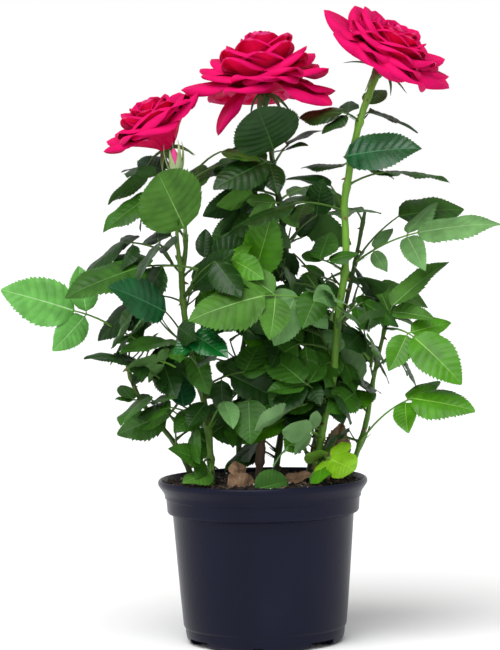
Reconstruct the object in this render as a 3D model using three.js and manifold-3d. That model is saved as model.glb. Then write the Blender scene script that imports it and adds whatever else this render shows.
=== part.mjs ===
// A pot rose: nine green canes, three open blooms and a bud, and tufts of compound leaves,
// growing from the soil of a thin-walled nursery pot.
// Millimetres. +X is to the right, +Y to the back and +Z up. The origin is the centre of the
// pot's flat underside. Every mesh is one closed body, 0.3 mm clear of its neighbours.

import * as THREE from 'three';
import { mergeVertices } from 'three/addons/utils/BufferGeometryUtils.js';
import Module from 'manifold-3d';

const wasm = await Module();
wasm.setup();

// ---------------------------------------------------------------- driving dimensions

const GAP = 0.3;                      // clearance between touching bodies
const POT_HEIGHT = 117;
const RIM_RADIUS = 75;
const COLLAR_RADIUS = 69;
const BODY_TOP_RADIUS = 65;
const BODY_FOOT_RADIUS = 58.6;
const FOOT_RADIUS = 57.3;
const FOOT_EDGE = 6;                  // rounding of the pot's bottom edge
const WALL = 1.8;
const FLOOR_TOP = 6;
const CHANNEL_HEIGHT = 4;             // drainage channel under the floor
const POT_SIDES = 24;
const SOIL_TOP = 113;
const SOIL_RADIUS = 69.5;
const SOIL_BUMP = 1.6;
const WIDE_NOTCHES = [-59, 46.5, 121, 226.5];   // bearings of the drain notches from the front
const NARROW_NOTCHES = [-5.5, 174.5];
const WIDE_NOTCH = [24, 4.5];         // width and height
const NARROW_NOTCH = [7, 3];

const CANE_SIDES = 6;
const CANE_STEP = 26;                 // longest stretch between two rings of a cane
const SLEEVE_HEIGHT = 6;              // clasping base that joins the leaf stalks of one tuft
const SLEEVE_WALL = 1.8;
const SLEEVE_SIDES = 4;
const STALK_RADIUS = 1.3;
const STALK_SIDES = 3;
const SMOOTHING = 0.15;               // facets flatter than this are merged after a cut
const BLADE_THICKNESS = 4;
const BLADE_WIDTH = 0.62;             // usual width of a leaflet over its length
const BLADE_ARCH = 0.08;              // how far a leaflet's tip dips, over its length
const PAIR_ANGLE = 65;                // side leaflets stand off the stalk by this angle
const PAIR_SCALE = 0.65;              // a side leaflet over the one beyond it
const FIRST_PAIR = 0.16;              // distance behind the end leaflet, over its length
const PAIR_SPACING = 0.55;

// Each cane: foot radius, tip radius and the few points that it bends through.
const CANES = {
  right: [3.1, 2.8, [
    [41, -5, 92], [40, -5, 135], [52, -8, 190], [55, -10, 230], [63, -10, 279], [60, -10, 305], [67, -8, 343],
    [73, -6, 372], [87, 0, 405]]],
  centre: [2.9, 1.9, [[5, 18, 92], [22, 25, 210], [18, 25, 295], [10, 18, 350], [6, 10, 389]]],
  left: [3.0, 2.4, [[-36, -10, 92], [-39, -12, 163], [-54, -15, 235], [-55, -15, 276]]],
  bud_shoot: [1.6, 1.3, [[-57, -18, 279], [-58, -24, 305], [-57, -25, 332]]],
  left_shoot: [1.8, 1.6, [[-52, -12, 279], [-52, -6, 305], [-59, -1, 335], [-63, 0, 351]]],
  far_left: [2.7, 1.5, [[-42, 10, 92], [-61, 10, 141], [-88, 10, 173], [-103, 6, 233]]],
  low_right: [2.5, 1.6, [[52, 15, 92], [75, 14, 151], [80, 11, 182], [91, 9, 228]]],
  right_back: [2.4, 1.6, [[28, 28, 92], [50, 32, 190], [69, 31, 265], [78, 33, 308]]],
  left_back: [2.5, 1.6, [[-18, 28, 92], [-15, 40, 184], [-8, 46, 255], [-16, 44, 312]]],
};

// Each tuft of leaves: its cane, the height of its foot, and its leaves. A leaf is its stalk
// [bearing, rise, length], its end leaflet [bearing, rise, length], the leaflet's roll about
// its own midrib, its count of side pairs and, on a broad one, its width over its length.
// Bearing 0 is +X, 90 is to the back.
const TUFTS = {
  right_top: ['right', 370, [
    [[-130, 20, 20], [150, 0, 38], -30, 1],
    [[75, 30, 27], [50, 30, 26], 25, 0],
    [[65, 25, 17], [20, -15, 42], 20, 0]]],
  right_upper: ['right', 342, [
    [[-110, 15, 15], [-20, 10, 56], 50, 0],
    [[110, -10, 17], [160, 5, 32], -10, 0],
    [[70, -5, 21], [25, -15, 30], 20, 0]]],
  right_middle: ['right', 307, [
    [[-150, 10, 40], [-175, -15, 50], -15, 1],
    [[135, 55, 22], [155, 15, 36], -15, 0]]],
  right_inner: ['right', 264, [
    [[-150, 25, 23], [70, 40, 34], 0, 1],
    [[130, -20, 27], [130, -25, 28], -60, 0]]],
  front_pale: ['right', 238, [
    [[-140, 10, 70], [-160, -10, 58], -45, 1]]],
  front_low: ['right', 169, [
    [[-115, 25, 46], [140, 35, 44], -25, 1],
    [[-120, 15, 16], [-170, 5, 48], -35, 0],
    [[-130, 0, 41], [-140, -15, 41], 60, 0, 0.4],
    [[-50, -15, 11], [40, 20, 40], 20, 0]]],
  front_foot: ['right', 145, [
    [[-105, 15, 28], [-140, 10, 30], 60, 1]]],
  right_foot: ['right', 128, [
    [[-75, 10, 28], [-55, -10, 27], 45, 1, 0.85],
    [[-70, 20, 12], [-135, 15, 22], 30, 0, 0.8],
    [[-85, 0, 22], [-100, -20, 23], 20, 0, 0.85],
    [[-130, 25, 36], [-125, -25, 27], 40, 0, 0.4]]],
  centre_top: ['centre', 340, [
    [[-90, 15, 44], [-105, 40, 48], -140, 0, 0.9],
    [[-15, 55, 18], [30, 25, 34], -5, 1],
    [[-105, 10, 19], [-150, -20, 46], -40, 1]]],
  centre_right: ['centre', 282, [
    [[-55, 30, 45], [-85, 45, 34], 155, 0],
    [[-25, 25, 14], [40, 60, 30], 10, 0]]],
  centre_low: ['centre', 176, [
    [[-115, 0, 65], [-90, -60, 33], 10, 0, 0.8]]],
  left_wing: ['left', 270, [
    [[-175, 0, 30], [-160, -15, 58], -25, 1],
    [[105, 35, 37], [135, -5, 34], -40, 0]]],
  left_centre: ['left', 246, [
    [[-50, 40, 16], [-35, 40, 42], 80, 0]]],
  left_dark: ['left', 202, [
    [[-120, 45, 53], [-140, 25, 50], -75, 0],
    [[-90, 35, 38], [-50, -20, 38], 30, 1]]],
  left_fork: ['left', 182, [
    [[-35, 20, 40], [60, 40, 36], 5, 1]]],
  left_low: ['left', 158, [
    [[-155, 40, 74], [-150, 10, 38], -20, 2],
    [[-130, 20, 41], [145, -10, 34], -40, 0],
    [[-135, 30, 27], [100, 55, 34], 10, 0]]],
  left_foot: ['left', 132, [
    [[-105, 0, 18], [-145, 25, 30], -55, 1],
    [[-90, -30, 16], [-130, -5, 28], -20, 0],
    [[130, 10, 9], [125, 45, 20], -40, 0]]],
  left_inner: ['left', 152, [
    [[-130, 60, 18], [-130, -20, 30], -40, 0],
    [[-95, 55, 26], [-125, -30, 26], -20, 0],
    [[-65, 40, 36], [-65, -40, 25], 10, 0]]],
  left_front: ['left_shoot', 289, [
    [[-90, 15, 34], [-120, 50, 52], -130, 0, 0.85],
    [[170, 50, 40], [-160, -30, 42], -25, 1]]],
  bud_leaves: ['left_shoot', 312, [
    [[135, 55, 31], [135, 20, 32], -45, 0],
    [[55, 45, 18], [75, 40, 32], 0, 0],
    [[55, 35, 33], [45, 35, 30], 0, 0]]],
  far_left_tip: ['far_left', 224, [
    [[-160, 25, 36], [-165, 20, 55], -75, 1]]],
  far_left_mid: ['far_left', 208, [
    [[-20, 45, 27], [160, 10, 36], -20, 1]]],
  far_left_foot: ['far_left', 172, [
    [[-135, 15, 9], [125, 30, 22], -5, 1]]],
  right_blade: ['low_right', 222, [
    [[-80, 35, 29], [20, 40, 56], 25, 1, 0.45],
    [[-65, -5, 43], [-35, -35, 50], 40, 1],
    [[-95, 25, 20], [-135, 5, 32], 50, 0]]],
  right_pale: ['low_right', 178, [
    [[-130, 30, 14], [135, 45, 44], 115, 0]]],
  right_low: ['low_right', 140, [
    [[-55, 30, 70], [-30, -5, 48], 35, 1]]],
  right_wing: ['right_back', 269, [
    [[-45, 20, 64], [-20, 10, 62], 40, 2, 0.45],
    [[-20, 45, 47], [15, 10, 52], 40, 0]]],
  centre_bright: ['left_back', 248, [
    [[-85, 15, 61], [-55, 60, 48], 125, 0],
    [[-60, 65, 65], [155, -25, 42], -45, 1]]],
};

// Tufts of the far side: the cane and height of each. Each is one leaf of three leaflets,
// and the leaves fan out by a fixed share of the far side's sweep.
const BACK_TUFTS = [
  ['right', 325], ['right', 195], ['centre', 315], ['centre', 225], ['centre', 150],
  ['left', 218], ['left_shoot', 332], ['far_left', 190], ['low_right', 200],
  ['right_back', 298], ['right_back', 225], ['right_back', 160],
  ['left_back', 300], ['left_back', 205], ['left_back', 150],
];
const BACK_TURN = 0.618;              // golden share of the sweep between one leaf and the next
const BACK_FAN = [15, 150];           // first bearing of the far side, and the sweep from it
const BACK_STALK = 38;
const BACK_RISE = 15;
const BACK_BLADE = 42;

// Blooms: foot, axis, full width, and tiers of petals up to the crown: each tier's share of
// the width and its height over the foot. Outer petals may droop below the foot.
const BLOOMS = {
  right_bloom: {
    foot: [88, 0, 407.5], axis: [20, -9, 38], width: 107, crown: 39,
    tiers: [[0.3, 3], [0.75, 9], [1, 16], [0.95, 24], [0.72, 32], [0.35, 38]],
  },
  centre_bloom: {
    foot: [6, 10, 391.5], axis: [-2, -6, 39], width: 105, crown: 44,
    tiers: [[0.25, -4], [0.7, -12], [0.97, -7], [1, 3], [0.8, 15], [0.5, 29], [0.28, 40]],
  },
  left_bloom: {
    foot: [-63.5, 0, 353.5], axis: [-16, -7, 36], width: 76, crown: 38,
    tiers: [[0.42, 2], [0.84, 9], [1, 18], [0.84, 28], [0.5, 35]],
  },
};
const BLOOM_SIDES = 15;
const BLOOM_LOBES = 5;
const BLOOM_LOBE_DEPTH = 0.08;
const TIER_TURN = 2;                  // radians from one tier's lobes to the next
const BUD = {
  foot: [-57, -25, 334.5], axis: [-1, 0, 9], width: 12, crown: 22,
  tiers: [[0.6, 2], [1, 8], [0.7, 15]], sides: 8,
};
const STUB = [3.2, 2.4, [[-3, -12, 94], [-4, -12, 118], [0, -13, 134], [1, -14, 146]]];

const COLOURS = {
  pot: 0x23263c, soil: 0x241a14, cane: 0x6f9a2c, dark_cane: 0x3c5a24, stub: 0x5a4038,
  leaf: 0x2f6b2c, petal: 0xe0124f, bud: 0xe83a72,
};
const DARK_CANES = ['centre', 'right_back', 'left_back', 'far_left'];

// ---------------------------------------------------------------- helpers

const vector = (point) => new THREE.Vector3(...point);

function heading(bearing, rise) {
  const turn = THREE.MathUtils.degToRad(bearing);
  const lift = THREE.MathUtils.degToRad(rise);
  return new THREE.Vector3(Math.cos(lift) * Math.cos(turn), Math.cos(lift) * Math.sin(turn), Math.sin(lift));
}

// A solid from points and triangles.
function solidFrom(positions, faces) {
  const mesh = new wasm.Mesh({
    numProp: 3,
    vertProperties: new Float32Array(positions),
    triVerts: new Uint32Array(faces),
  });
  return new wasm.Manifold(mesh);
}

// A solid from a three.js geometry whose doubled vertices are merged first.
function solidOf(geometry) {
  geometry.deleteAttribute('normal');
  geometry.deleteAttribute('uv');
  const merged = mergeVertices(geometry, 1e-3);
  const index = merged.index.array;
  const faces = [];
  for (let i = 0; i < index.length; i += 3) {
    const [a, b, c] = [index[i], index[i + 1], index[i + 2]];
    if (a !== b && b !== c && c !== a) faces.push(a, b, c);
  }
  return solidFrom(merged.attributes.position.array, faces);
}

// What is left of a solid after its cuts: its largest body, with flat facets merged.
function largestBody(solid) {
  const bodies = solid.decompose();
  const body = bodies.reduce((best, other) => (other.volume() > best.volume() ? other : best));
  return body.asOriginal().simplify(SMOOTHING);
}

function meshOf(name, solid, colour, roughness) {
  const { vertProperties, triVerts } = solid.getMesh();
  const geometry = new THREE.BufferGeometry();
  geometry.setAttribute('position', new THREE.BufferAttribute(new Float32Array(vertProperties), 3));
  geometry.setIndex(new THREE.BufferAttribute(new Uint32Array(triVerts), 1));
  geometry.computeVertexNormals();
  const material = new THREE.MeshStandardMaterial({ color: colour, roughness, metalness: 0 });
  const mesh = new THREE.Mesh(geometry, material);
  mesh.name = name;
  return mesh;
}

// Rings of points, each running anticlockwise seen from the end, and closed there either flat
// or by a fan to a pole.
function ringSolid(rings, poles = []) {
  const sides = rings[0].length;
  const points = [...rings.flat(), ...poles];
  const top = (rings.length - 1) * sides;
  const faces = [];
  for (let j = 0; j < sides; j += 1) {
    const next = (j + 1) % sides;
    for (let low = 0; low < top; low += sides) {
      const high = low + sides;
      faces.push(low + j, low + next, high + next, low + j, high + next, high + j);
    }
    if (poles.length) {
      faces.push(top + sides, next, j, top + sides + 1, top + j, top + next);
    } else if (j > 0 && next > 0) {
      faces.push(0, next, j, top, top + j, top + next);
    }
  }
  return solidFrom(points.flatMap((point) => point.toArray()), faces);
}

// ---------------------------------------------------------------- limbs

// A tapering limb along a smooth curve through a few points.
function limb([footRadius, tipRadius, points], grow = 0, sides = CANE_SIDES) {
  const curve = new THREE.CatmullRomCurve3(points.map(vector));
  const steps = Math.ceil(curve.getLength() / CANE_STEP);
  const frames = curve.computeFrenetFrames(steps, false);
  const rings = [];
  for (let k = 0; k <= steps; k += 1) {
    const t = k / steps;
    const radius = THREE.MathUtils.lerp(footRadius, tipRadius, t) + grow;
    const centre = curve.getPointAt(t);
    const end = k === 0 ? -grow : (k === steps ? grow : 0);
    centre.addScaledVector(frames.tangents[k], end);
    const ring = [];
    for (let j = 0; j < sides; j += 1) {
      const angle = (2 * Math.PI * j) / sides;
      const point = centre.clone();
      point.addScaledVector(frames.normals[k], radius * Math.cos(angle));
      point.addScaledVector(frames.binormals[k], radius * Math.sin(angle));
      ring.push(point);
    }
    rings.push(ring);
  }
  return ringSolid(rings);
}

// The point of a cane's axis at a height, with the cane's heading and radius there.
function caneAt(name, height) {
  const [footRadius, tipRadius, points] = CANES[name];
  const curve = new THREE.CatmullRomCurve3(points.map(vector));
  let low = 0;
  let high = 1;
  for (let i = 0; i < 24; i += 1) {
    const middle = (low + high) / 2;
    if (curve.getPointAt(middle).z < height) low = middle;
    else high = middle;
  }
  const radius = THREE.MathUtils.lerp(footRadius, tipRadius, low);
  return { point: curve.getPointAt(low), along: curve.getTangentAt(low), radius };
}

// ---------------------------------------------------------------- leaves

// The upper face's normal of a leaflet: straight up as far as its midrib lets it, then rolled.
function faceNormal(along, roll) {
  const up = new THREE.Vector3(0, 0, 1);
  up.addScaledVector(along, -along.z).normalize();
  return up.applyAxisAngle(along, THREE.MathUtils.degToRad(roll));
}

// A leaflet's pad: a thin pointed oval, thickest along its midrib.
function leafletPad({ base, along, normal, length, breadth }, grow) {
  const half = (breadth * length) / 2 + grow;
  const thick = BLADE_THICKNESS / 2 + grow;
  const side = new THREE.Vector3().crossVectors(normal, along);
  const at = (u, v, w) => {
    const point = base.clone();
    point.addScaledVector(along, u * (length + 2 * grow) - grow);
    point.addScaledVector(side, v * half);
    point.addScaledVector(normal, w * thick - BLADE_ARCH * length * u * u);
    return point;
  };
  const points = [
    at(0, 0, 0), at(0.28, 1, 0), at(0.66, 0.84, 0), at(1, 0, 0), at(0.66, -0.84, 0), at(0.28, -1, 0),
    at(0.32, 0, 1), at(0.68, 0, 0.8), at(0.32, 0, -1), at(0.68, 0, -0.8),
  ];
  const upper = [0, 6, 1, 1, 6, 2, 2, 6, 7, 2, 7, 3, 3, 7, 4, 4, 7, 6, 4, 6, 5, 5, 6, 0];
  const lower = [0, 1, 8, 1, 2, 8, 2, 9, 8, 2, 3, 9, 3, 4, 9, 4, 8, 9, 4, 5, 8, 5, 0, 8];
  return solidFrom(points.flatMap((point) => point.toArray()), [...upper, ...lower]);
}

// The leaflets of one compound leaf: the end leaflet and its side pairs.
function leafletsOf(foot, [stalk, blade, roll, pairs, breadth = BLADE_WIDTH]) {
  const stalkWay = heading(stalk[0], stalk[1]);
  const bladeWay = heading(blade[0], blade[1]);
  const base = foot.clone().addScaledVector(stalkWay, stalk[2]);
  const length = blade[2];
  const normal = faceNormal(bladeWay, roll);
  const leaflets = [{ base, along: bladeWay, normal, length, breadth }];
  let size = length;
  for (let pair = 0; pair < pairs; pair += 1) {
    const back = length * (FIRST_PAIR + PAIR_SPACING * pair);
    if (back > stalk[2] * 0.9) break;
    const joint = base.clone().addScaledVector(stalkWay, -back);
    size *= PAIR_SCALE;
    for (const hand of [-1, 1]) {
      const turn = THREE.MathUtils.degToRad(hand * PAIR_ANGLE);
      const along = bladeWay.clone().applyAxisAngle(normal, turn);
      leaflets.push({ base: joint, along, normal, length: size, breadth });
    }
  }
  return leaflets;
}

// A leaf's stalk, bent a little way into the end leaflet.
function stalkRod(foot, [stalk, blade], grow) {
  const bend = foot.clone().addScaledVector(heading(stalk[0], stalk[1]), stalk[2]);
  const tip = bend.clone().addScaledVector(heading(blade[0], blade[1]), STALK_RADIUS * 3);
  const first = limb([STALK_RADIUS, STALK_RADIUS, [foot.toArray(), bend.toArray()]], grow, STALK_SIDES);
  const last = limb([STALK_RADIUS, STALK_RADIUS / 2, [bend.toArray(), tip.toArray()]], grow, STALK_SIDES);
  return first.add(last);
}

// The stalks of one tuft. Where there are several, a sleeve round the cane joins them.
function tuftStalks([cane, height, leaves], grow) {
  const { point, along, radius } = caneAt(cane, height);
  const rods = wasm.Manifold.union(leaves.map((leaf) => stalkRod(point, leaf, grow)));
  if (leaves.length < 2) return rods;
  const reach = along.clone().multiplyScalar(SLEEVE_HEIGHT / 2);
  const ends = [point.clone().sub(reach).toArray(), point.clone().add(reach).toArray()];
  const outside = (radius + SLEEVE_WALL) * Math.SQRT2;
  return rods.add(limb([outside, outside, ends], grow, SLEEVE_SIDES));
}

function tuftPads([cane, height, leaves], grow) {
  const { point } = caneAt(cane, height);
  const pads = leaves.flatMap((leaf) => leafletsOf(point, leaf));
  return wasm.Manifold.union(pads.map((pad) => leafletPad(pad, grow)));
}

function backTuft(cane, height, order) {
  const [first, sweep] = BACK_FAN;
  const bearing = first + sweep * ((order * BACK_TURN) % 1);
  const droop = -5 - ((order * 7) % 20);
  const blade = BACK_BLADE - ((order * 5) % 8);
  return [cane, height, [[[bearing, BACK_RISE, BACK_STALK], [bearing, droop, blade], 0, 1]]];
}

// ---------------------------------------------------------------- blooms

// A bloom: an uneven closed form whose tiers of petals push out in turned lobes.
function bloomSolid({ foot, axis, width, crown, tiers, sides = BLOOM_SIDES }, grow = 0) {
  const up = new THREE.Vector3(0, 0, 1);
  const turn = new THREE.Quaternion().setFromUnitVectors(up, vector(axis).normalize());
  const place = (x, y, z) => new THREE.Vector3(x, y, z).applyQuaternion(turn).add(vector(foot));
  const rings = tiers.map(([share, height], tier) => {
    const ring = [];
    for (let j = 0; j < sides; j += 1) {
      const angle = (2 * Math.PI * j) / sides;
      const lobe = 1 + BLOOM_LOBE_DEPTH * (Math.cos(BLOOM_LOBES * angle + tier * TIER_TURN) - 1);
      const radius = (width / 2) * share * lobe + grow;
      ring.push(place(radius * Math.cos(angle), radius * Math.sin(angle), height));
    }
    return ring;
  });
  return ringSolid(rings, [place(0, 0, -grow), place(0, 0, crown + grow)]);
}

// ---------------------------------------------------------------- pot and soil

// The outer wall from the foot to the rim: [radius, height].
const OUTER_WALL = [
  [FOOT_RADIUS - FOOT_EDGE * 0.3, FOOT_EDGE * 0.35],
  [FOOT_RADIUS, 8],
  [BODY_FOOT_RADIUS, 11.5],
  [BODY_TOP_RADIUS, 91.5],
  [COLLAR_RADIUS, 95.5],
  [COLLAR_RADIUS + 1.2, 106],
  [RIM_RADIUS, 112.5],
  [RIM_RADIUS, POT_HEIGHT],
];
const INNER_WALL = [
  [RIM_RADIUS - WALL - 1, POT_HEIGHT],
  [COLLAR_RADIUS + 1.2 - WALL, 107],
  [COLLAR_RADIUS - WALL, 96.5],
  [BODY_TOP_RADIUS - WALL, 92.5],
  [BODY_FOOT_RADIUS - WALL, FLOOR_TOP],
];

function lathe(profile) {
  const geometry = new THREE.LatheGeometry(profile.map(([r, z]) => new THREE.Vector2(r, z)), POT_SIDES);
  return solidOf(geometry.rotateX(Math.PI / 2));
}

function notch(bearing, [width, height]) {
  const cutter = new THREE.BoxGeometry(width, 16, 2 * height);
  cutter.translate(0, -(FOOT_RADIUS - 3), 0);
  cutter.rotateZ(THREE.MathUtils.degToRad(bearing));
  return solidOf(cutter);
}

function pot() {
  const underside = [
    [0, 0], [30, 0], [33, CHANNEL_HEIGHT], [46, CHANNEL_HEIGHT], [48.5, 0], [FOOT_RADIUS - FOOT_EDGE, 0],
  ];
  const shell = lathe([...underside, ...OUTER_WALL, ...INNER_WALL, [0, FLOOR_TOP]]);
  const notches = [
    ...WIDE_NOTCHES.map((bearing) => notch(bearing, WIDE_NOTCH)),
    ...NARROW_NOTCHES.map((bearing) => notch(bearing, NARROW_NOTCH)),
  ];
  return notches.reduce((body, cut) => body.subtract(cut), shell);
}

function soilHeight(x, y) {
  return SOIL_TOP + SOIL_BUMP * Math.sin(0.11 * x + 0.6) * Math.cos(0.13 * y) + 0.5 * Math.sin(0.31 * x - 0.27 * y);
}

function soil() {
  const wall = INNER_WALL.slice(1).reverse().map(([r, z]) => [r - GAP, z + GAP]);
  wall[0][1] = FLOOR_TOP + GAP;
  const top = [1, 0.5, 0].map((share) => [SOIL_RADIUS * share, SOIL_TOP]);
  const profile = [[0, FLOOR_TOP + GAP], ...wall.slice(0, 4), ...top];
  const geometry = new THREE.LatheGeometry(profile.map(([r, z]) => new THREE.Vector2(r, z)), POT_SIDES);
  geometry.rotateX(Math.PI / 2);
  const position = geometry.attributes.position;
  for (let i = 0; i < position.count; i += 1) {
    if (position.getZ(i) > SOIL_TOP - 0.01) position.setZ(i, soilHeight(position.getX(i), position.getY(i)));
  }
  return solidOf(geometry);
}

// ---------------------------------------------------------------- assembly

const rose = new THREE.Group();
const canes = {};
let grownCanes = limb(STUB, GAP);
for (const [name, cane] of Object.entries(CANES)) {
  canes[name] = limb(cane).subtract(grownCanes);
  grownCanes = grownCanes.add(limb(cane, GAP));
}

rose.add(meshOf('pot', pot(), COLOURS.pot, 0.4));
rose.add(meshOf('soil', largestBody(soil().subtract(grownCanes)), COLOURS.soil, 0.95));
rose.add(meshOf('dead_stub', limb(STUB), COLOURS.stub, 0.9));
for (const [name, solid] of Object.entries(canes)) {
  const colour = DARK_CANES.includes(name) ? COLOURS.dark_cane : COLOURS.cane;
  rose.add(meshOf(`cane_${name}`, largestBody(solid), colour, 0.5));
}

let grownBlooms = bloomSolid(BUD, GAP);
rose.add(meshOf('bud', largestBody(bloomSolid(BUD).subtract(grownCanes)), COLOURS.bud, 0.6));
for (const [name, bloom] of Object.entries(BLOOMS)) {
  const solid = bloomSolid(bloom).subtract(grownCanes).subtract(grownBlooms);
  rose.add(meshOf(name, largestBody(solid), COLOURS.petal, 0.6));
  grownBlooms = grownBlooms.add(bloomSolid(bloom, GAP));
}

// Stalks go first, so that a leaflet is cut where it meets another tuft's stalk.
const tufts = { ...TUFTS };
BACK_TUFTS.forEach(([cane, height], order) => {
  tufts[`back_${order + 1}`] = backTuft(cane, height, order);
});
const names = Object.keys(tufts);
const rimAndSoil = lathe([[0, 0], [RIM_RADIUS + GAP, 0], [RIM_RADIUS + GAP, POT_HEIGHT + GAP], [0, POT_HEIGHT + GAP]]);
const solidParts = grownCanes.add(grownBlooms);
const stalks = {};
const grownStalks = {};
let taken = solidParts;
for (const name of names) {
  stalks[name] = tuftStalks(tufts[name], 0).subtract(taken);
  grownStalks[name] = tuftStalks(tufts[name], GAP);
  taken = taken.add(grownStalks[name]);
}
let takenPads = solidParts.add(rimAndSoil);
for (const name of names) {
  const others = names.filter((other) => other !== name).map((other) => grownStalks[other]);
  const pads = tuftPads(tufts[name], 0).subtract(takenPads).subtract(wasm.Manifold.union(others));
  rose.add(meshOf(`leaves_${name}`, largestBody(stalks[name].add(pads)), COLOURS.leaf, 0.45));
  takenPads = takenPads.add(tuftPads(tufts[name], GAP));
}

export default rose;
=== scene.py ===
"""A pot rose: green canes, toothed compound leaves, three open blooms and a bud, in a nursery pot.

Metres, with the pot's underside on the ground, +X to the right, +Y to the back and +Z up.
Sizes in the growth tables are millimetres and degrees. Bearing 0 is +X and 90 is to the back.
"""

import math
from typing import NamedTuple

import bpy
import numpy as np
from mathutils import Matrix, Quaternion, Vector, noise


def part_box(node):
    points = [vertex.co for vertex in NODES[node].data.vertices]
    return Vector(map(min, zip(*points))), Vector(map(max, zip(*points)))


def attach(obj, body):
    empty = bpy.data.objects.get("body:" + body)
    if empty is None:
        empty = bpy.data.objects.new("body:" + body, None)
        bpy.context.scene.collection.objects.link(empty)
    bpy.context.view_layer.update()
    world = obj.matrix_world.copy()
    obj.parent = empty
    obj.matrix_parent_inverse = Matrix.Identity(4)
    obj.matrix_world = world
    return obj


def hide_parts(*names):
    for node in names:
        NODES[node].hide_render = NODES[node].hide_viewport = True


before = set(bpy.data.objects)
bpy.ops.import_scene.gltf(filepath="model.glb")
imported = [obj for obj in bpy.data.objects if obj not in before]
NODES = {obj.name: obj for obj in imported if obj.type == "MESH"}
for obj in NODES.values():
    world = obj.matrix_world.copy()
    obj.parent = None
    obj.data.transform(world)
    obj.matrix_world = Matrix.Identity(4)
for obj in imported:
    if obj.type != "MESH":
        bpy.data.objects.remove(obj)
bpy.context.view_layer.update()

bl_info = {
    "name": "Pot rose",
    "version": (1, 0, 0),
    "blender": (4, 5, 0),
    "location": "View3D > Sidebar > Pot rose",
    "description": "Builds a potted rose bush round its packed frame",
    "category": "Add Mesh",
}

MM = 0.001
BODY = "root"
GOLDEN_TURN = 137.5

# ---------------------------------------------------------------- growth tables


class Leaf(NamedTuple):
    """One compound leaf: its stalk and end leaflet as (bearing, rise, length), and its habit."""

    stalk: tuple
    blade: tuple
    roll: float
    pairs: int
    tint: str
    breadth: float = 0.62
    fold: float = 12.0
    curl: float = 0.10


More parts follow.
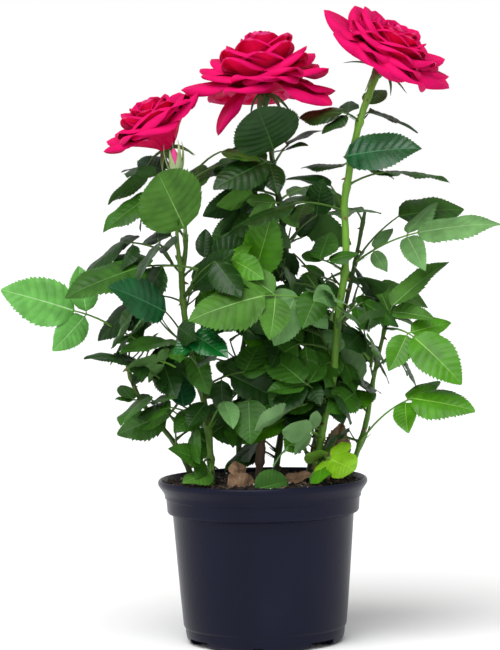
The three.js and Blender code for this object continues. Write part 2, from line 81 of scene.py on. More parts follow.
# Each tuft: the frame's node that it stands for, its cane, the height of its foot and its leaves.
TUFTS = {
    "right_top": ("right", 370, (
        Leaf((-130, 20, 20), (150, 0, 38), -30, 1, "dark"),
        Leaf((75, 30, 27), (50, 30, 26), 25, 0, "middle"),
        Leaf((65, 25, 17), (20, -15, 42), 20, 0, "dark", fold=24))),
    "right_upper": ("right", 342, (
        Leaf((-110, 15, 15), (-20, 10, 56), 50, 0, "bluish", fold=8),
        Leaf((110, -10, 17), (160, 5, 32), -10, 0, "dark"),
        Leaf((70, -5, 21), (25, -15, 30), 20, 0, "middle"))),
    "right_middle": ("right", 307, (
        Leaf((-150, 10, 40), (-175, -15, 50), -15, 1, "dark"),
        Leaf((135, 55, 22), (155, 15, 36), -15, 0, "dark", fold=26))),
    "right_inner": ("right", 264, (
        Leaf((-150, 25, 23), (70, 40, 34), 0, 1, "middle"),
        Leaf((130, -20, 27), (130, -25, 28), -60, 0, "dark"))),
    "front_pale": ("right", 238, (
        Leaf((-140, 10, 70), (-160, -10, 58), -45, 1, "matte", fold=10),)),
    "front_low": ("right", 169, (
        Leaf((-115, 25, 46), (140, 35, 44), -25, 1, "middle"),
        Leaf((-120, 15, 16), (-170, 5, 48), -35, 0, "middle"),
        Leaf((-130, 0, 41), (-140, -15, 41), 60, 0, "pale", breadth=0.4, fold=20),
        Leaf((-50, -15, 11), (40, 20, 40), 20, 0, "fresh"))),
    "front_foot": ("right", 145, (
        Leaf((-105, 15, 28), (-140, 10, 30), 60, 1, "pale"),)),
    "right_foot": ("right", 128, (
        Leaf((-75, 10, 28), (-55, -10, 27), 45, 1, "lime", breadth=0.85),
        Leaf((-70, 20, 12), (-135, 15, 22), 30, 0, "lime", breadth=0.8),
        Leaf((-85, 0, 22), (-100, -20, 23), 20, 0, "fresh", breadth=0.85),
        Leaf((-130, 25, 36), (-125, -25, 27), 40, 0, "pale", breadth=0.4, fold=20))),
    "centre_top": ("centre", 340, (
        Leaf((-90, 15, 44), (-105, 40, 41), -145, 0, "dark", breadth=1.2, fold=5),
        Leaf((-15, 55, 18), (30, 25, 34), -5, 1, "dark"),
        Leaf((-105, 10, 19), (-150, -20, 46), -40, 1, "dark"))),
    "centre_right": ("centre", 282, (
        Leaf((-55, 30, 45), (-85, 45, 34), 155, 0, "dark"),
        Leaf((-25, 25, 14), (40, 60, 30), 10, 0, "dark"))),
    "centre_low": ("centre", 176, (
        Leaf((-115, 0, 65), (-90, -60, 33), 10, 0, "middle", breadth=0.8, fold=6),)),
    "left_wing": ("left", 270, (
        Leaf((-175, 0, 30), (-160, -15, 58), -25, 1, "middle"),
        Leaf((105, 35, 37), (135, -5, 34), -40, 0, "dark"))),
    "left_centre": ("left", 246, (
        Leaf((-50, 40, 16), (-35, 40, 42), 80, 0, "dark"),)),
    "left_dark": ("left", 202, (
        Leaf((-120, 45, 53), (-140, 25, 50), -75, 0, "bluish", fold=8),
        Leaf((-90, 35, 38), (-50, -20, 38), 30, 1, "glossy", fold=18))),
    "left_fork": ("left", 182, (
        Leaf((-35, 20, 40), (60, 40, 36), 5, 1, "middle"),)),
    "left_low": ("left", 158, (
        Leaf((-155, 40, 74), (-150, 10, 38), -20, 2, "dark"),
        Leaf((-130, 20, 41), (145, -10, 34), -40, 0, "middle"),
        Leaf((-135, 30, 27), (100, 55, 34), 10, 0, "bluish"))),
    "left_foot": ("left", 132, (
        Leaf((-105, 0, 18), (-145, 25, 30), -55, 1, "middle"),
        Leaf((-90, -30, 16), (-130, -5, 28), -20, 0, "matte"),
        Leaf((130, 10, 9), (125, 45, 20), -40, 0, "pale"))),
    "left_inner": ("left", 152, (
        Leaf((-130, 60, 18), (-130, -20, 30), -40, 0, "middle"),
        Leaf((-95, 55, 26), (-125, -30, 26), -20, 0, "dark"),
        Leaf((-65, 40, 36), (-65, -40, 25), 10, 0, "pale"))),
    "left_front": ("left_shoot", 289, (
        Leaf((-90, 15, 34), (-120, 50, 49), -130, 0, "matte", breadth=0.98, fold=4, curl=0.02),
        Leaf((170, 50, 40), (-160, -30, 42), -25, 1, "middle"))),
    "bud_leaves": ("left_shoot", 312, (
        Leaf((135, 55, 31), (135, 20, 32), -45, 0, "bluish"),
        Leaf((55, 45, 18), (75, 40, 32), 0, 0, "middle"),
        Leaf((55, 35, 33), (45, 35, 30), 0, 0, "dark"))),
    "far_left_tip": ("far_left", 224, (
        Leaf((-160, 25, 36), (-165, 20, 55), -75, 1, "young", fold=6),)),
    "far_left_mid": ("far_left", 208, (
        Leaf((-20, 45, 27), (160, 10, 36), -20, 1, "middle"),)),
    "far_left_foot": ("far_left", 172, (
        Leaf((-135, 15, 9), (125, 30, 22), -5, 1, "middle"),)),
    "right_blade": ("low_right", 222, (
        Leaf((-80, 35, 29), (20, 40, 56), 25, 1, "matte", breadth=0.45, fold=28),
        Leaf((-65, -5, 43), (-35, -35, 50), 40, 1, "fresh", fold=10),
        Leaf((-95, 25, 20), (-135, 5, 32), 50, 0, "middle"))),
    "right_pale": ("low_right", 178, (
        Leaf((-130, 30, 14), (135, 45, 44), 115, 0, "pale"),)),
    "right_low": ("low_right", 140, (
        Leaf((-55, 30, 70), (-30, -5, 48), 35, 1, "fresh"),)),
    "right_wing": ("right_back", 269, (
        Leaf((-45, 20, 64), (-20, 10, 62), 40, 2, "pale", breadth=0.45, fold=10),
        Leaf((-20, 45, 47), (15, 10, 52), 40, 0, "middle"))),
    "centre_bright": ("left_back", 248, (
        Leaf((-85, 15, 61), (-55, 60, 48), 125, 0, "fresh"),
        Leaf((-60, 65, 65), (155, -25, 42), -45, 1, "dark"))),
}

# Single leaves inside the crown: their cane, the height of their foot, and the leaf.
INNER_LEAVES = (
    ("centre", 318, Leaf((-150, 15, 18), (-175, -20, 44), 60, 1, "dark")),
    ("centre", 300, Leaf((-165, 10, 22), (-160, -30, 38), -60, 0, "middle")),
    ("left", 262, Leaf((10, 35, 26), (20, 15, 36), 70, 1, "dark")),
    ("right", 236, Leaf((160, 20, 24), (150, -25, 34), -50, 1, "middle")),
    ("left_back", 132, Leaf((-60, 25, 22), (-100, -15, 34), 40, 1, "dark")),
    ("centre", 128, Leaf((-125, 20, 25), (-155, -20, 30), -30, 0, "dark")),
    ("centre", 132, Leaf((-115, 25, 34), (-125, -5, 20), 20, 0, "middle")),
    ("left", 148, Leaf((20, 30, 22), (10, -25, 28), 50, 1, "middle")),
    ("right", 150, Leaf((-160, 20, 30), (-165, -25, 34), -40, 1, "fresh")),
    ("low_right", 140, Leaf((-150, 15, 24), (-120, -30, 30), 40, 1, "middle")),
)

# Tufts of the far side, one leaf of three leaflets each: its cane and height. The leaves fan out
# by a fixed share of the far side's sweep.
BACK_TUFTS = (
    ("right", 325), ("right", 195), ("centre", 315), ("centre", 225), ("centre", 150),
    ("left", 218), ("left_shoot", 332), ("far_left", 190), ("low_right", 200),
    ("right_back", 298), ("right_back", 225), ("right_back", 160),
    ("left_back", 300), ("left_back", 205), ("left_back", 150),
)
BACK_TURN = 0.618           # share of the sweep from one leaf or shoot to the next
BACK_FAN = (15, 150)
BACK_TINTS = ("middle", "dark", "matte", "dark", "middle")

# Side shoots inside the crown: cane, lowest and highest foot, how many, and the sweep of
# bearings that they may take.
SHOOTS = (
    ("left", 134, 270, 9, (-180, 180)),
    ("left_shoot", 290, 320, 2, (-180, 180)),
    ("centre", 130, 310, 8, (-180, 180)),
    ("right", 130, 250, 5, (100, 300)),
    ("left_back", 128, 285, 8, (-180, 180)),
    ("right_back", 128, 250, 6, (-180, 180)),
    ("far_left", 130, 210, 4, (-90, 120)),
    ("low_right", 130, 215, 5, (60, 290)),
)
SHOOT_TINTS = ("middle", "dark", "middle", "matte", "dark", "dark", "middle", "fresh", "middle", "pale")
SHOOT_BLADE = (28, 42)
SHOOT_SPREAD = 75           # degrees to either hand between a shoot and its leaves

# Side leaflets: their angle off the midrib, their size over the leaflet before, and how far behind
# the end leaflet's foot the first pair and each next one stand, over that leaflet's length.
PAIR_ANGLE = 65
PAIR_SCALE = 0.65
FIRST_PAIR = 0.16
PAIR_SPACING = 0.55

# Each bloom: its foot and axis, the number of its heart's petals, how far the last of them opens and
# the first and last ones' lengths, its seed, how far its sepals open, and the outer petals, each with
# its turn about the axis, its opening off the axis at the tip, its length and its breadth. Turn 90
# faces the front.
BLOOMS = {
    "right_bloom": dict(
        foot=(88, 0, 407.5), axis=(20, -9, 38), heart=30, heart_open=60,
        heart_length=(26, 40), seed=5, sepals=95, outer=(
            (15, 42, 42, 0.95), (345, 38, 43, 0.95), (312, 42, 42, 0.95), (55, 58, 41, 1.0),
            (100, 60, 41, 1.05), (146, 60, 43, 1.0), (195, 57, 44, 0.95), (240, 52, 42, 0.95),
            (280, 46, 42, 0.95), (75, 70, 42, 1.0), (120, 70, 43, 1.0), (2, 68, 54, 0.75),
            (36, 78, 46, 1.0), (80, 82, 44, 1.15), (126, 80, 47, 1.1), (168, 76, 49, 1.0),
            (192, 70, 47, 0.9), (225, 66, 47, 1.0), (265, 60, 45, 1.0), (305, 54, 45, 0.95),
            (335, 50, 47, 0.9))),
    "centre_bloom": dict(
        foot=(6, 10, 391.5), axis=(-2, -2, 39), heart=18, heart_open=46,
        heart_length=(38, 44), seed=11, sepals=120, outer=(
            (90, 44, 42, 1.0), (45, 52, 43, 0.9), (140, 54, 44, 0.9), (200, 54, 46, 0.8),
            (335, 54, 46, 0.8), (270, 52, 43, 1.0), (20, 72, 46, 0.85), (72, 70, 42, 1.0),
            (118, 68, 44, 0.9), (163, 72, 48, 0.85), (206, 68, 46, 0.8), (250, 76, 44, 0.95),
            (300, 74, 44, 0.95), (338, 64, 50, 0.8), (98, 74, 42, 0.95), (4, 86, 56, 0.8),
            (20, 136, 47, 0.6), (58, 88, 44, 0.9), (152, 106, 50, 0.95), (184, 96, 47, 0.8),
            (228, 100, 47, 1.0), (272, 104, 46, 1.0), (316, 98, 48, 0.95))),
    "left_bloom": dict(
        foot=(-63.5, 0, 353.5), axis=(-16, -7, 36), heart=18, heart_open=36,
        heart_length=(32, 38), seed=3, sepals=100, outer=(
            (30, 46, 38, 1.1), (95, 38, 40, 1.15), (150, 40, 41, 1.15), (215, 42, 40, 1.1),
            (285, 46, 38, 1.1), (330, 54, 38, 1.0), (8, 66, 43, 0.95), (345, 60, 42, 0.9),
            (62, 52, 41, 1.25), (116, 44, 43, 1.3), (172, 48, 43, 1.1), (212, 46, 42, 1.1),
            (255, 54, 41, 1.1))),
}
BUD = dict(foot=(-57, -25, 334.5), axis=(-1, 0, 9))

# Leaf colours: upper face, underside and midrib, then the upper face's roughness and shine.
TINTS = {
    "dark": ((0.010, 0.042, 0.005), (0.028, 0.080, 0.018), (0.048, 0.125, 0.028), 0.34, 0.24),
    "bluish": ((0.006, 0.068, 0.018), (0.045, 0.120, 0.050), (0.045, 0.165, 0.070), 0.28, 0.35),
    "glossy": ((0.003, 0.095, 0.014), (0.060, 0.170, 0.050), (0.050, 0.230, 0.060), 0.20, 0.50),
    "middle": ((0.028, 0.104, 0.008), (0.055, 0.140, 0.030), (0.095, 0.230, 0.045), 0.40, 0.20),
    "matte": ((0.056, 0.162, 0.018), (0.085, 0.190, 0.050), (0.190, 0.360, 0.100), 0.50, 0.18),
    "fresh": ((0.052, 0.200, 0.004), (0.095, 0.250, 0.035), (0.190, 0.390, 0.055), 0.36, 0.24),
    "lime": ((0.165, 0.370, 0.008), (0.200, 0.420, 0.050), (0.320, 0.520, 0.080), 0.42, 0.25),
    "young": ((0.120, 0.370, 0.070), (0.200, 0.420, 0.150), (0.320, 0.580, 0.240), 0.40, 0.25),
    "pale": ((0.115, 0.260, 0.080), (0.150, 0.290, 0.110), (0.220, 0.390, 0.160), 0.50, 0.20),
}

CANE_COLOURS = {
    "right": (0.125, 0.290, 0.025),
    "centre": (0.034, 0.066, 0.010),
    "left": (0.085, 0.180, 0.022),
    "bud_shoot": (0.150, 0.300, 0.040),
    "left_shoot": (0.100, 0.220, 0.025),
    "far_left": (0.060, 0.110, 0.018),
    "low_right": (0.085, 0.200, 0.018),
    "right_back": (0.045, 0.100, 0.012),
    "left_back": (0.045, 0.095, 0.012),
}

# ---------------------------------------------------------------- meshes from arrays


class Sheaf:
    """Points and faces of many like parts, gathered before they become one mesh."""

    def __init__(self):
        self.points = []
        self.faces = []
        self.slots = []
        self.count = 0

    def add(self, points, faces, slots):
        """Takes points, faces of one size as rows of point numbers, and a slot for each face."""
        self.points.append(np.asarray(points, float).reshape(-1, 3))
        self.faces.append(np.asarray(faces, int) + self.count)
        self.slots.append(np.broadcast_to(np.asarray(slots, int), len(faces)))
        self.count += len(self.points[-1])

    def build(self, name, materials, crease=55):
        """Makes the joined mesh, smooth except where faces meet at more than the crease."""
        points = np.vstack(self.points)
        loops = np.concatenate([rows.ravel() for rows in self.faces])
        sizes = np.concatenate([np.full(len(rows), rows.shape[1]) for rows in self.faces])
        starts = np.concatenate([[0], np.cumsum(sizes)[:-1]])
        mesh = bpy.data.meshes.new(name)
        mesh.vertices.add(len(points))
        mesh.vertices.foreach_set("co", points.astype(np.float32).ravel())
        mesh.loops.add(len(loops))
        mesh.loops.foreach_set("vertex_index", loops.astype(np.int32))
        mesh.polygons.add(len(sizes))
        mesh.polygons.foreach_set("loop_start", starts.astype(np.int32))
        for material in materials:
            mesh.materials.append(material)
        mesh.polygons.foreach_set("material_index", np.concatenate(self.slots).astype(np.int32))
        mesh.update(calc_edges=True)
        mesh.validate()
        piece = bpy.data.objects.new(name, mesh)
        bpy.context.scene.collection.objects.link(piece)
        select_only(piece)
        bpy.ops.object.shade_smooth_by_angle(angle=math.radians(crease))
        return piece


def select_only(piece):
    """Deselects everything else, so that an operator acts on this piece alone."""
    bpy.ops.object.select_all(action="DESELECT")
    piece.select_set(True)
    bpy.context.view_layer.objects.active = piece


def shell(sheaf, grid, thickness, top, under):
    """Adds a thin closed sheet over a grid of points: an upper and a lower face that share margins."""
    rows, columns = grid.shape[:2]
    normal = np.cross(np.gradient(grid, axis=0), np.gradient(grid, axis=1))
    normal /= np.linalg.norm(normal, axis=2, keepdims=True) + 1e-12
    upper = np.arange(rows * columns).reshape(rows, columns)
    lower = upper.copy()
    inner = (rows - 2) * (columns - 2)
    lower[1:-1, 1:-1] = rows * columns + np.arange(inner).reshape(rows - 2, columns - 2)
    sunk = (grid - thickness * normal)[1:-1, 1:-1]
    points = np.vstack([grid.reshape(-1, 3), sunk.reshape(-1, 3)])

    def quads(index):
        corners = (index[:-1, :-1], index[1:, :-1], index[1:, 1:], index[:-1, 1:])
        return np.stack(corners, axis=-1).reshape(-1, 4)

    top = np.broadcast_to(top, (rows - 1, columns - 1)).ravel()
    faces = np.vstack([quads(upper), quads(lower)[:, ::-1]])
    sheaf.add(points, faces, np.concatenate([top, np.full(len(top), under)]))


def tube(sheaf, path, radii, sides=6, slot=0, tip=0.25):
    """Adds a round closed limb along a path of points, drawn in to a share of its radius at the ends."""
    path = np.asarray(path, float)
    radii = np.broadcast_to(np.asarray(radii, float), len(path))
    ways = np.gradient(path, axis=0)
    ways /= np.linalg.norm(ways, axis=1, keepdims=True)
    helper = np.array((0.31, 0.95, 0.05)) if abs(ways[0][1]) < 0.8 else np.array((1.0, 0.0, 0.1))
    angles = np.linspace(0, 2 * math.pi, sides, endpoint=False)
    rings = []
    for point, way, radius in zip(path, ways, radii):
        across = np.cross(helper, way)
        across /= np.linalg.norm(across)
        helper = np.cross(way, across)
        spokes = np.outer(np.cos(angles), across) + np.outer(np.sin(angles), helper)
        rings.append(point + radius * spokes)
    ends = (path[0] - ways[0] * radii[0] * tip, path[-1] + ways[-1] * radii[-1] * tip)
    first = len(rings) * sides
    index = np.arange(first).reshape(len(rings), sides)
    turned = np.roll(index, -1, axis=1)
    quads = np.stack([index[:-1], turned[:-1], turned[1:], index[1:]], axis=-1).reshape(-1, 4)
    start = np.stack([np.full(sides, first), turned[0], index[0]], axis=-1)
    end = np.stack([np.full(sides, first + 1), index[-1], turned[-1]], axis=-1)
    points = np.vstack([*rings, *ends])
    base = sheaf.count
    sheaf.add(points, quads, slot)
    sheaf.faces.append(np.vstack([start, end]) + base)
    sheaf.slots.append(np.full(2 * sides, slot))


def arc(start, end, lift, steps):
    """Points of a shallow arch between two points, lifted along a vector at its middle."""
    share = np.linspace(0, 1, steps)[:, None]
    start, end, lift = np.array(start), np.array(end), np.array(lift)
    return start + (end - start) * share + lift * 4 * share * (1 - share)


def heading(bearing, rise):
    """The unit vector of a bearing and a rise in degrees."""
    turn, lift = math.radians(bearing), math.radians(rise)
    return Vector((math.cos(lift) * math.cos(turn), math.cos(lift) * math.sin(turn), math.sin(lift)))


def face_normal(along, roll):
    """The upper face's normal of a leaflet: up as far as its midrib lets it, then rolled."""
    up = Vector((0, 0, 1))
    up = (up - along * along.dot(up)).normalized()
    return Quaternion(along, math.radians(roll)) @ up


# ---------------------------------------------------------------- finishes


def finish_of(name, low, high, scale, rough, bump=0.0, bump_scale=400.0, shine=0.3,
              stretch=(1, 1, 1)):
    """A finish that drifts between two colours, with fine relief, on Object coordinates."""
    material = bpy.data.materials.new(name)
    material.use_nodes = True
    tree = material.node_tree
    shader = tree.nodes["Principled BSDF"]
    place = tree.nodes.new("ShaderNodeTexCoord")
    mapping = tree.nodes.new("ShaderNodeMapping")
    mapping.inputs["Scale"].default_value = stretch
    tree.links.new(place.outputs["Object"], mapping.inputs["Vector"])
    drift = tree.nodes.new("ShaderNodeTexNoise")
    drift.inputs["Scale"].default_value = scale
    drift.inputs["Detail"].default_value = 4.0
    tree.links.new(mapping.outputs["Vector"], drift.inputs["Vector"])
    ramp = tree.nodes.new("ShaderNodeValToRGB")
    ramp.color_ramp.elements[0].position = 0.32
    ramp.color_ramp.elements[0].color = (*low, 1)
    ramp.color_ramp.elements[1].position = 0.68
    ramp.color_ramp.elements[1].color = (*high, 1)
    tree.links.new(drift.outputs["Fac"], ramp.inputs["Fac"])
    tree.links.new(ramp.outputs["Color"], shader.inputs["Base Color"])
    gloss = tree.nodes.new("ShaderNodeMapRange")
    gloss.inputs["To Min"].default_value = max(0.05, rough - 0.07)
    gloss.inputs["To Max"].default_value = min(1.0, rough + 0.09)
    tree.links.new(drift.outputs["Fac"], gloss.inputs["Value"])
    tree.links.new(gloss.outputs["Result"], shader.inputs["Roughness"])
    if bump:
        grain = tree.nodes.new("ShaderNodeTexNoise")
        grain.inputs["Scale"].default_value = bump_scale
        grain.inputs["Detail"].default_value = 3.0
        tree.links.new(mapping.outputs["Vector"], grain.inputs["Vector"])
        relief = tree.nodes.new("ShaderNodeBump")
        relief.inputs["Strength"].default_value = bump
        relief.inputs["Distance"].default_value = 0.0006
        tree.links.new(grain.outputs["Fac"], relief.inputs["Height"])
        tree.links.new(relief.outputs["Normal"], shader.inputs["Normal"])
    shader.inputs["Specular IOR Level"].default_value = shine
    return material


def shaded(colour, share):
    """A colour made darker or lighter by a share."""
    return tuple(channel * share for channel in colour)


def leaf_finishes(tint):
    """The three finishes of a leaf: upper face, underside, and midrib with its veins."""
    top, under, rib, rough, shine = TINTS[tint]
    return (
        finish_of(f"leaf_{tint}", shaded(top, 0.78), shaded(top, 1.25), 90, rough, 0.3, 900, shine=shine),
        finish_of(f"leaf_{tint}_under", shaded(under, 0.85), shaded(under, 1.12), 90, 0.6, 0.4, 900,
                  shine=0.15),
        finish_of(f"leaf_{tint}_rib", shaded(rib, 0.85), shaded(rib, 1.15), 120, 0.45, shine=0.2),
    )


# ---------------------------------------------------------------- canes


def section(points, triangles, height):
    """The centre and mean radius of a node's cut at a height."""
    corners = points[triangles]
    starts, ends = [], []
    for a, b, c in ((0, 1, 2), (1, 2, 0), (2, 0, 1)):
        alone = corners[:, a, 2] > height
        crossed = (alone != (corners[:, b, 2] > height)) & (alone != (corners[:, c, 2] > height))
        hit = corners[crossed]
        if not len(hit):
            continue
        first = (height - hit[:, a, 2]) / (hit[:, b, 2] - hit[:, a, 2])
        second = (height - hit[:, a, 2]) / (hit[:, c, 2] - hit[:, a, 2])
        starts.append(hit[:, a] + first[:, None] * (hit[:, b] - hit[:, a]))
        ends.append(hit[:, a] + second[:, None] * (hit[:, c] - hit[:, a]))
    starts, ends = np.vstack(starts), np.vstack(ends)
    sizes = np.linalg.norm(ends - starts, axis=1)[:, None]
    middle = (starts + ends) / 2
    centre = (middle * sizes).sum(0) / sizes.sum()
    radius = float((np.linalg.norm(middle - centre, axis=1)[:, None] * sizes).sum() / sizes.sum())
    return centre, radius


SLICE = 4 * MM              # between two cuts of a cane's node
CANE_STEP = 1.6 * MM        # between two rings of a cane
SWELLING = 0.30             # how much a cane swells at a leaf joint, over its radius
SWELLING_REACH = 2.6 * MM
BLOOM_OF_CANE = {"right": "right_bloom", "centre": "centre_bloom", "left_shoot": "left_bloom"}
CANE_LINES = {}


def cane_line(name):
    """A cane's centreline and radii, measured on the frame's node from its foot to its tip."""
    if name in CANE_LINES:
        return CANE_LINES[name]
    mesh = NODES[f"cane_{name}"].data
    mesh.calc_loop_triangles()
    points = np.array([v.co for v in mesh.vertices], float)
    triangles = np.array([t.vertices for t in mesh.loop_triangles], int)
    low, high = points[:, 2].min() + 2.5 * MM, points[:, 2].max() - 2.5 * MM
    heights = np.linspace(low, high, max(4, int((high - low) / SLICE)))
    cuts = [section(points, triangles, height) for height in heights]
    line = np.array([centre for centre, _ in cuts])
    radii = np.array([radius for _, radius in cuts])
    for _ in range(6):
        line[1:-1] = (line[:-2] + 2 * line[1:-1] + line[2:]) / 4
    ways = np.gradient(line, axis=0)
    slant = np.abs(ways[:, 2]) / np.linalg.norm(ways, axis=1)
    taper = np.polyfit(heights, radii * np.sqrt(slant), 1)
    CANE_LINES[name] = (line, np.polyval(taper, heights))
    return CANE_LINES[name]


def cane_at(name, height):
    """The point, heading and radius of a cane at a height in millimetres."""
    line, radii = cane_line(name)
    heights = line[:, 2]
    point = Vector([float(np.interp(height * MM, heights, line[:, k])) for k in range(3)])
    point.z = height * MM
    place = int(np.clip(np.searchsorted(heights, height * MM), 1, len(line) - 1))
    way = Vector(line[place] - line[place - 1]).normalized()
    return point, way, float(np.interp(height * MM, heights, radii))


def swellings(name):
    """The heights where a cane carries leaves, and so swells."""
    heights = [height for cane, height, _ in TUFTS.values() if cane == name]
    heights += [height for cane, height in BACK_TUFTS if cane == name]
    return sorted(heights)


def model_cane(name, sizes):
    """One cane as a swept curve, swollen at its leaf joints, then given its bark's relief."""
    line, radii = cane_line(name)
    if name in ("bud_shoot", "left_shoot"):
        parent, parent_radii = cane_line("left")
        line = np.vstack([parent[-4] * 0.7 + line[0] * 0.3, line])
        radii = np.concatenate([[parent_radii[-1] * 0.9], radii])
    if name in BLOOM_OF_CANE:
        foot = np.array(BLOOMS[BLOOM_OF_CANE[name]]["foot"]) * MM
        line = np.vstack([line, foot])
        radii = np.append(radii, radii[-1])
    lengths = np.concatenate([[0], np.cumsum(np.linalg.norm(np.diff(line, axis=0), axis=1))])
    steps = np.linspace(0, lengths[-1], int(lengths[-1] / CANE_STEP))
    fine = np.stack([np.interp(steps, lengths, line[:, k]) for k in range(3)], axis=1)
    for _ in range(3):
        fine[1:-1] = (fine[:-2] + 2 * fine[1:-1] + fine[2:]) / 4
    grown = np.interp(steps, lengths, radii)
    for height in swellings(name):
        near = (fine[:, 2] - height * MM) / SWELLING_REACH
        grown *= 1 + SWELLING * np.exp(-near ** 2)
    curve = bpy.data.curves.new(f"stem_{name}", "CURVE")
    curve.dimensions = "3D"
    curve.bevel_depth = 1.0
    curve.bevel_resolution = 4
    curve.use_fill_caps = True
    spline = curve.splines.new("POLY")
    spline.points.add(len(fine) - 1)
    spline.points.foreach_set("co", np.hstack([fine, np.ones((len(fine), 1))]).ravel())
    spline.points.foreach_set("radius", grown)
    piece = bpy.data.objects.new(f"stem_{name}", curve)
    bpy.context.scene.collection.objects.link(piece)
    select_only(piece)
    bpy.ops.object.convert(target="MESH")
    piece = bpy.context.view_layer.objects.active
    displace(piece, f"bark_lumps_{name}", 9 * MM, 0.9 * MM * sizes.bark)
    displace(piece, f"bark_grain_{name}", 1.6 * MM, 0.35 * MM * sizes.bark)
    bpy.ops.object.shade_smooth()
    colour = CANE_COLOURS[name]
    finish = finish_of(f"cane_{name}", shaded(colour, 0.72), shaded(colour, 1.25), 55, 0.42, 0.5, 700,
                       stretch=(1, 1, 0.35))
    piece.data.materials.append(finish)
    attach(piece, BODY)
    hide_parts(f"cane_{name}")
    return piece


PRICKLE_SPACING = 17 * MM


def add_prickles(sheaf, name, rng):
    """Hooked prickles scattered up a cane by the golden turn."""
    line = cane_line(name)[0]
    low, high = line[0][2] + 18 * MM, line[-1][2] - 8 * MM
    if high - low < 40 * MM:
        return
    count = int((high - low) / PRICKLE_SPACING)
    for order in range(count):
        height = low + (high - low) * (order + rng.uniform(0.1, 0.9)) / count
        point, way, radius = cane_at(name, height / MM)
        out = heading(order * GOLDEN_TURN + rng.uniform(-20, 20), 0)
        out = (out - way * out.dot(way)).normalized()
        size = rng.uniform(1.6, 3.2) * MM
        root = point + out * radius * 0.7
        path = [root, root + out * size * 0.6 - way * size * 0.05,
                root + out * size * 1.2 - way * size * 0.35]
        tube(sheaf, path, np.array((0.55, 0.3, 0.08)) * size, 6, 0, 0.6)


# ---------------------------------------------------------------- leaves

# Shares of a leaflet's length, but for LAST_TOOTH.
SWEEP = 0.15                # how far forward a side vein runs from the midrib to the margin
RIB_HALF = 0.0095           # half width of the midrib at its foot
TOOTH_DEPTH = 0.028
QUILT_DEPTH = 0.006         # how far the face swells between two side veins
RIPPLE = 0.016              # wave of the margin
LAST_TOOTH = 0.35           # length of the pointed end, in spaces between side veins
UPPER, UNDER, MIDRIB = range(3)     # the order of a leaf's finishes


class LeafForm(NamedTuple):
    """The grid of a leaflet: rows along it with their tooth and relief, and its columns."""

    rows: np.ndarray
    teeth: np.ndarray
    relief: np.ndarray
    columns: np.ndarray


def leaf_form(veins, columns, fine):
    """Rows for a number of side veins, each ending in a tooth with a second tooth beyond it."""
    if fine:
        pattern = ((0.0, 0.0, 0.7), (0.36, 0.8, -0.4), (0.45, 1.0, -0.4), (0.53, 0.1, 0.5),
                   (0.93, 0.9, 1.0))
    else:
        pattern = ((0.0, 0.0, 0.6), (0.46, 1.0, -0.5), (0.54, 0.1, 0.4), (0.94, 0.9, 1.0))
    rows = [((vein + share) / (veins + LAST_TOOTH), tooth, relief)
            for vein in range(veins) for share, tooth, relief in pattern]
    rows += [(veins / (veins + LAST_TOOTH), 0.0, 0.3), (0.985, 0.0, 0.0)]
    table = np.array(rows)
    return LeafForm(table[:, 0], table[:, 1], table[:, 2], np.array(columns))


RIB = 0.02                  # marks the two columns beside the midrib
CRUMPLE_SCALE = 110         # waves in a metre of a dry leaf's crumples
FINE_LEAF = leaf_form(9, (-1, -0.7, -0.36, -RIB, RIB, 0.36, 0.7, 1), True)
PLAIN_LEAF = leaf_form(7, (-1, -0.5, -RIB, RIB, 0.5, 1), False)


def outline(share, blunt=False):
    """Half width of a leaflet along its length, over its greatest: round at the foot, pointed."""
    foot, tip = (0.52, 0.62) if blunt else (0.6, 0.95)
    peak = foot / (foot + tip)
    highest = peak ** foot * (1 - peak) ** tip
    share = np.clip(share, 0.0, 1.0)
    return share ** foot * (1 - share) ** tip / highest


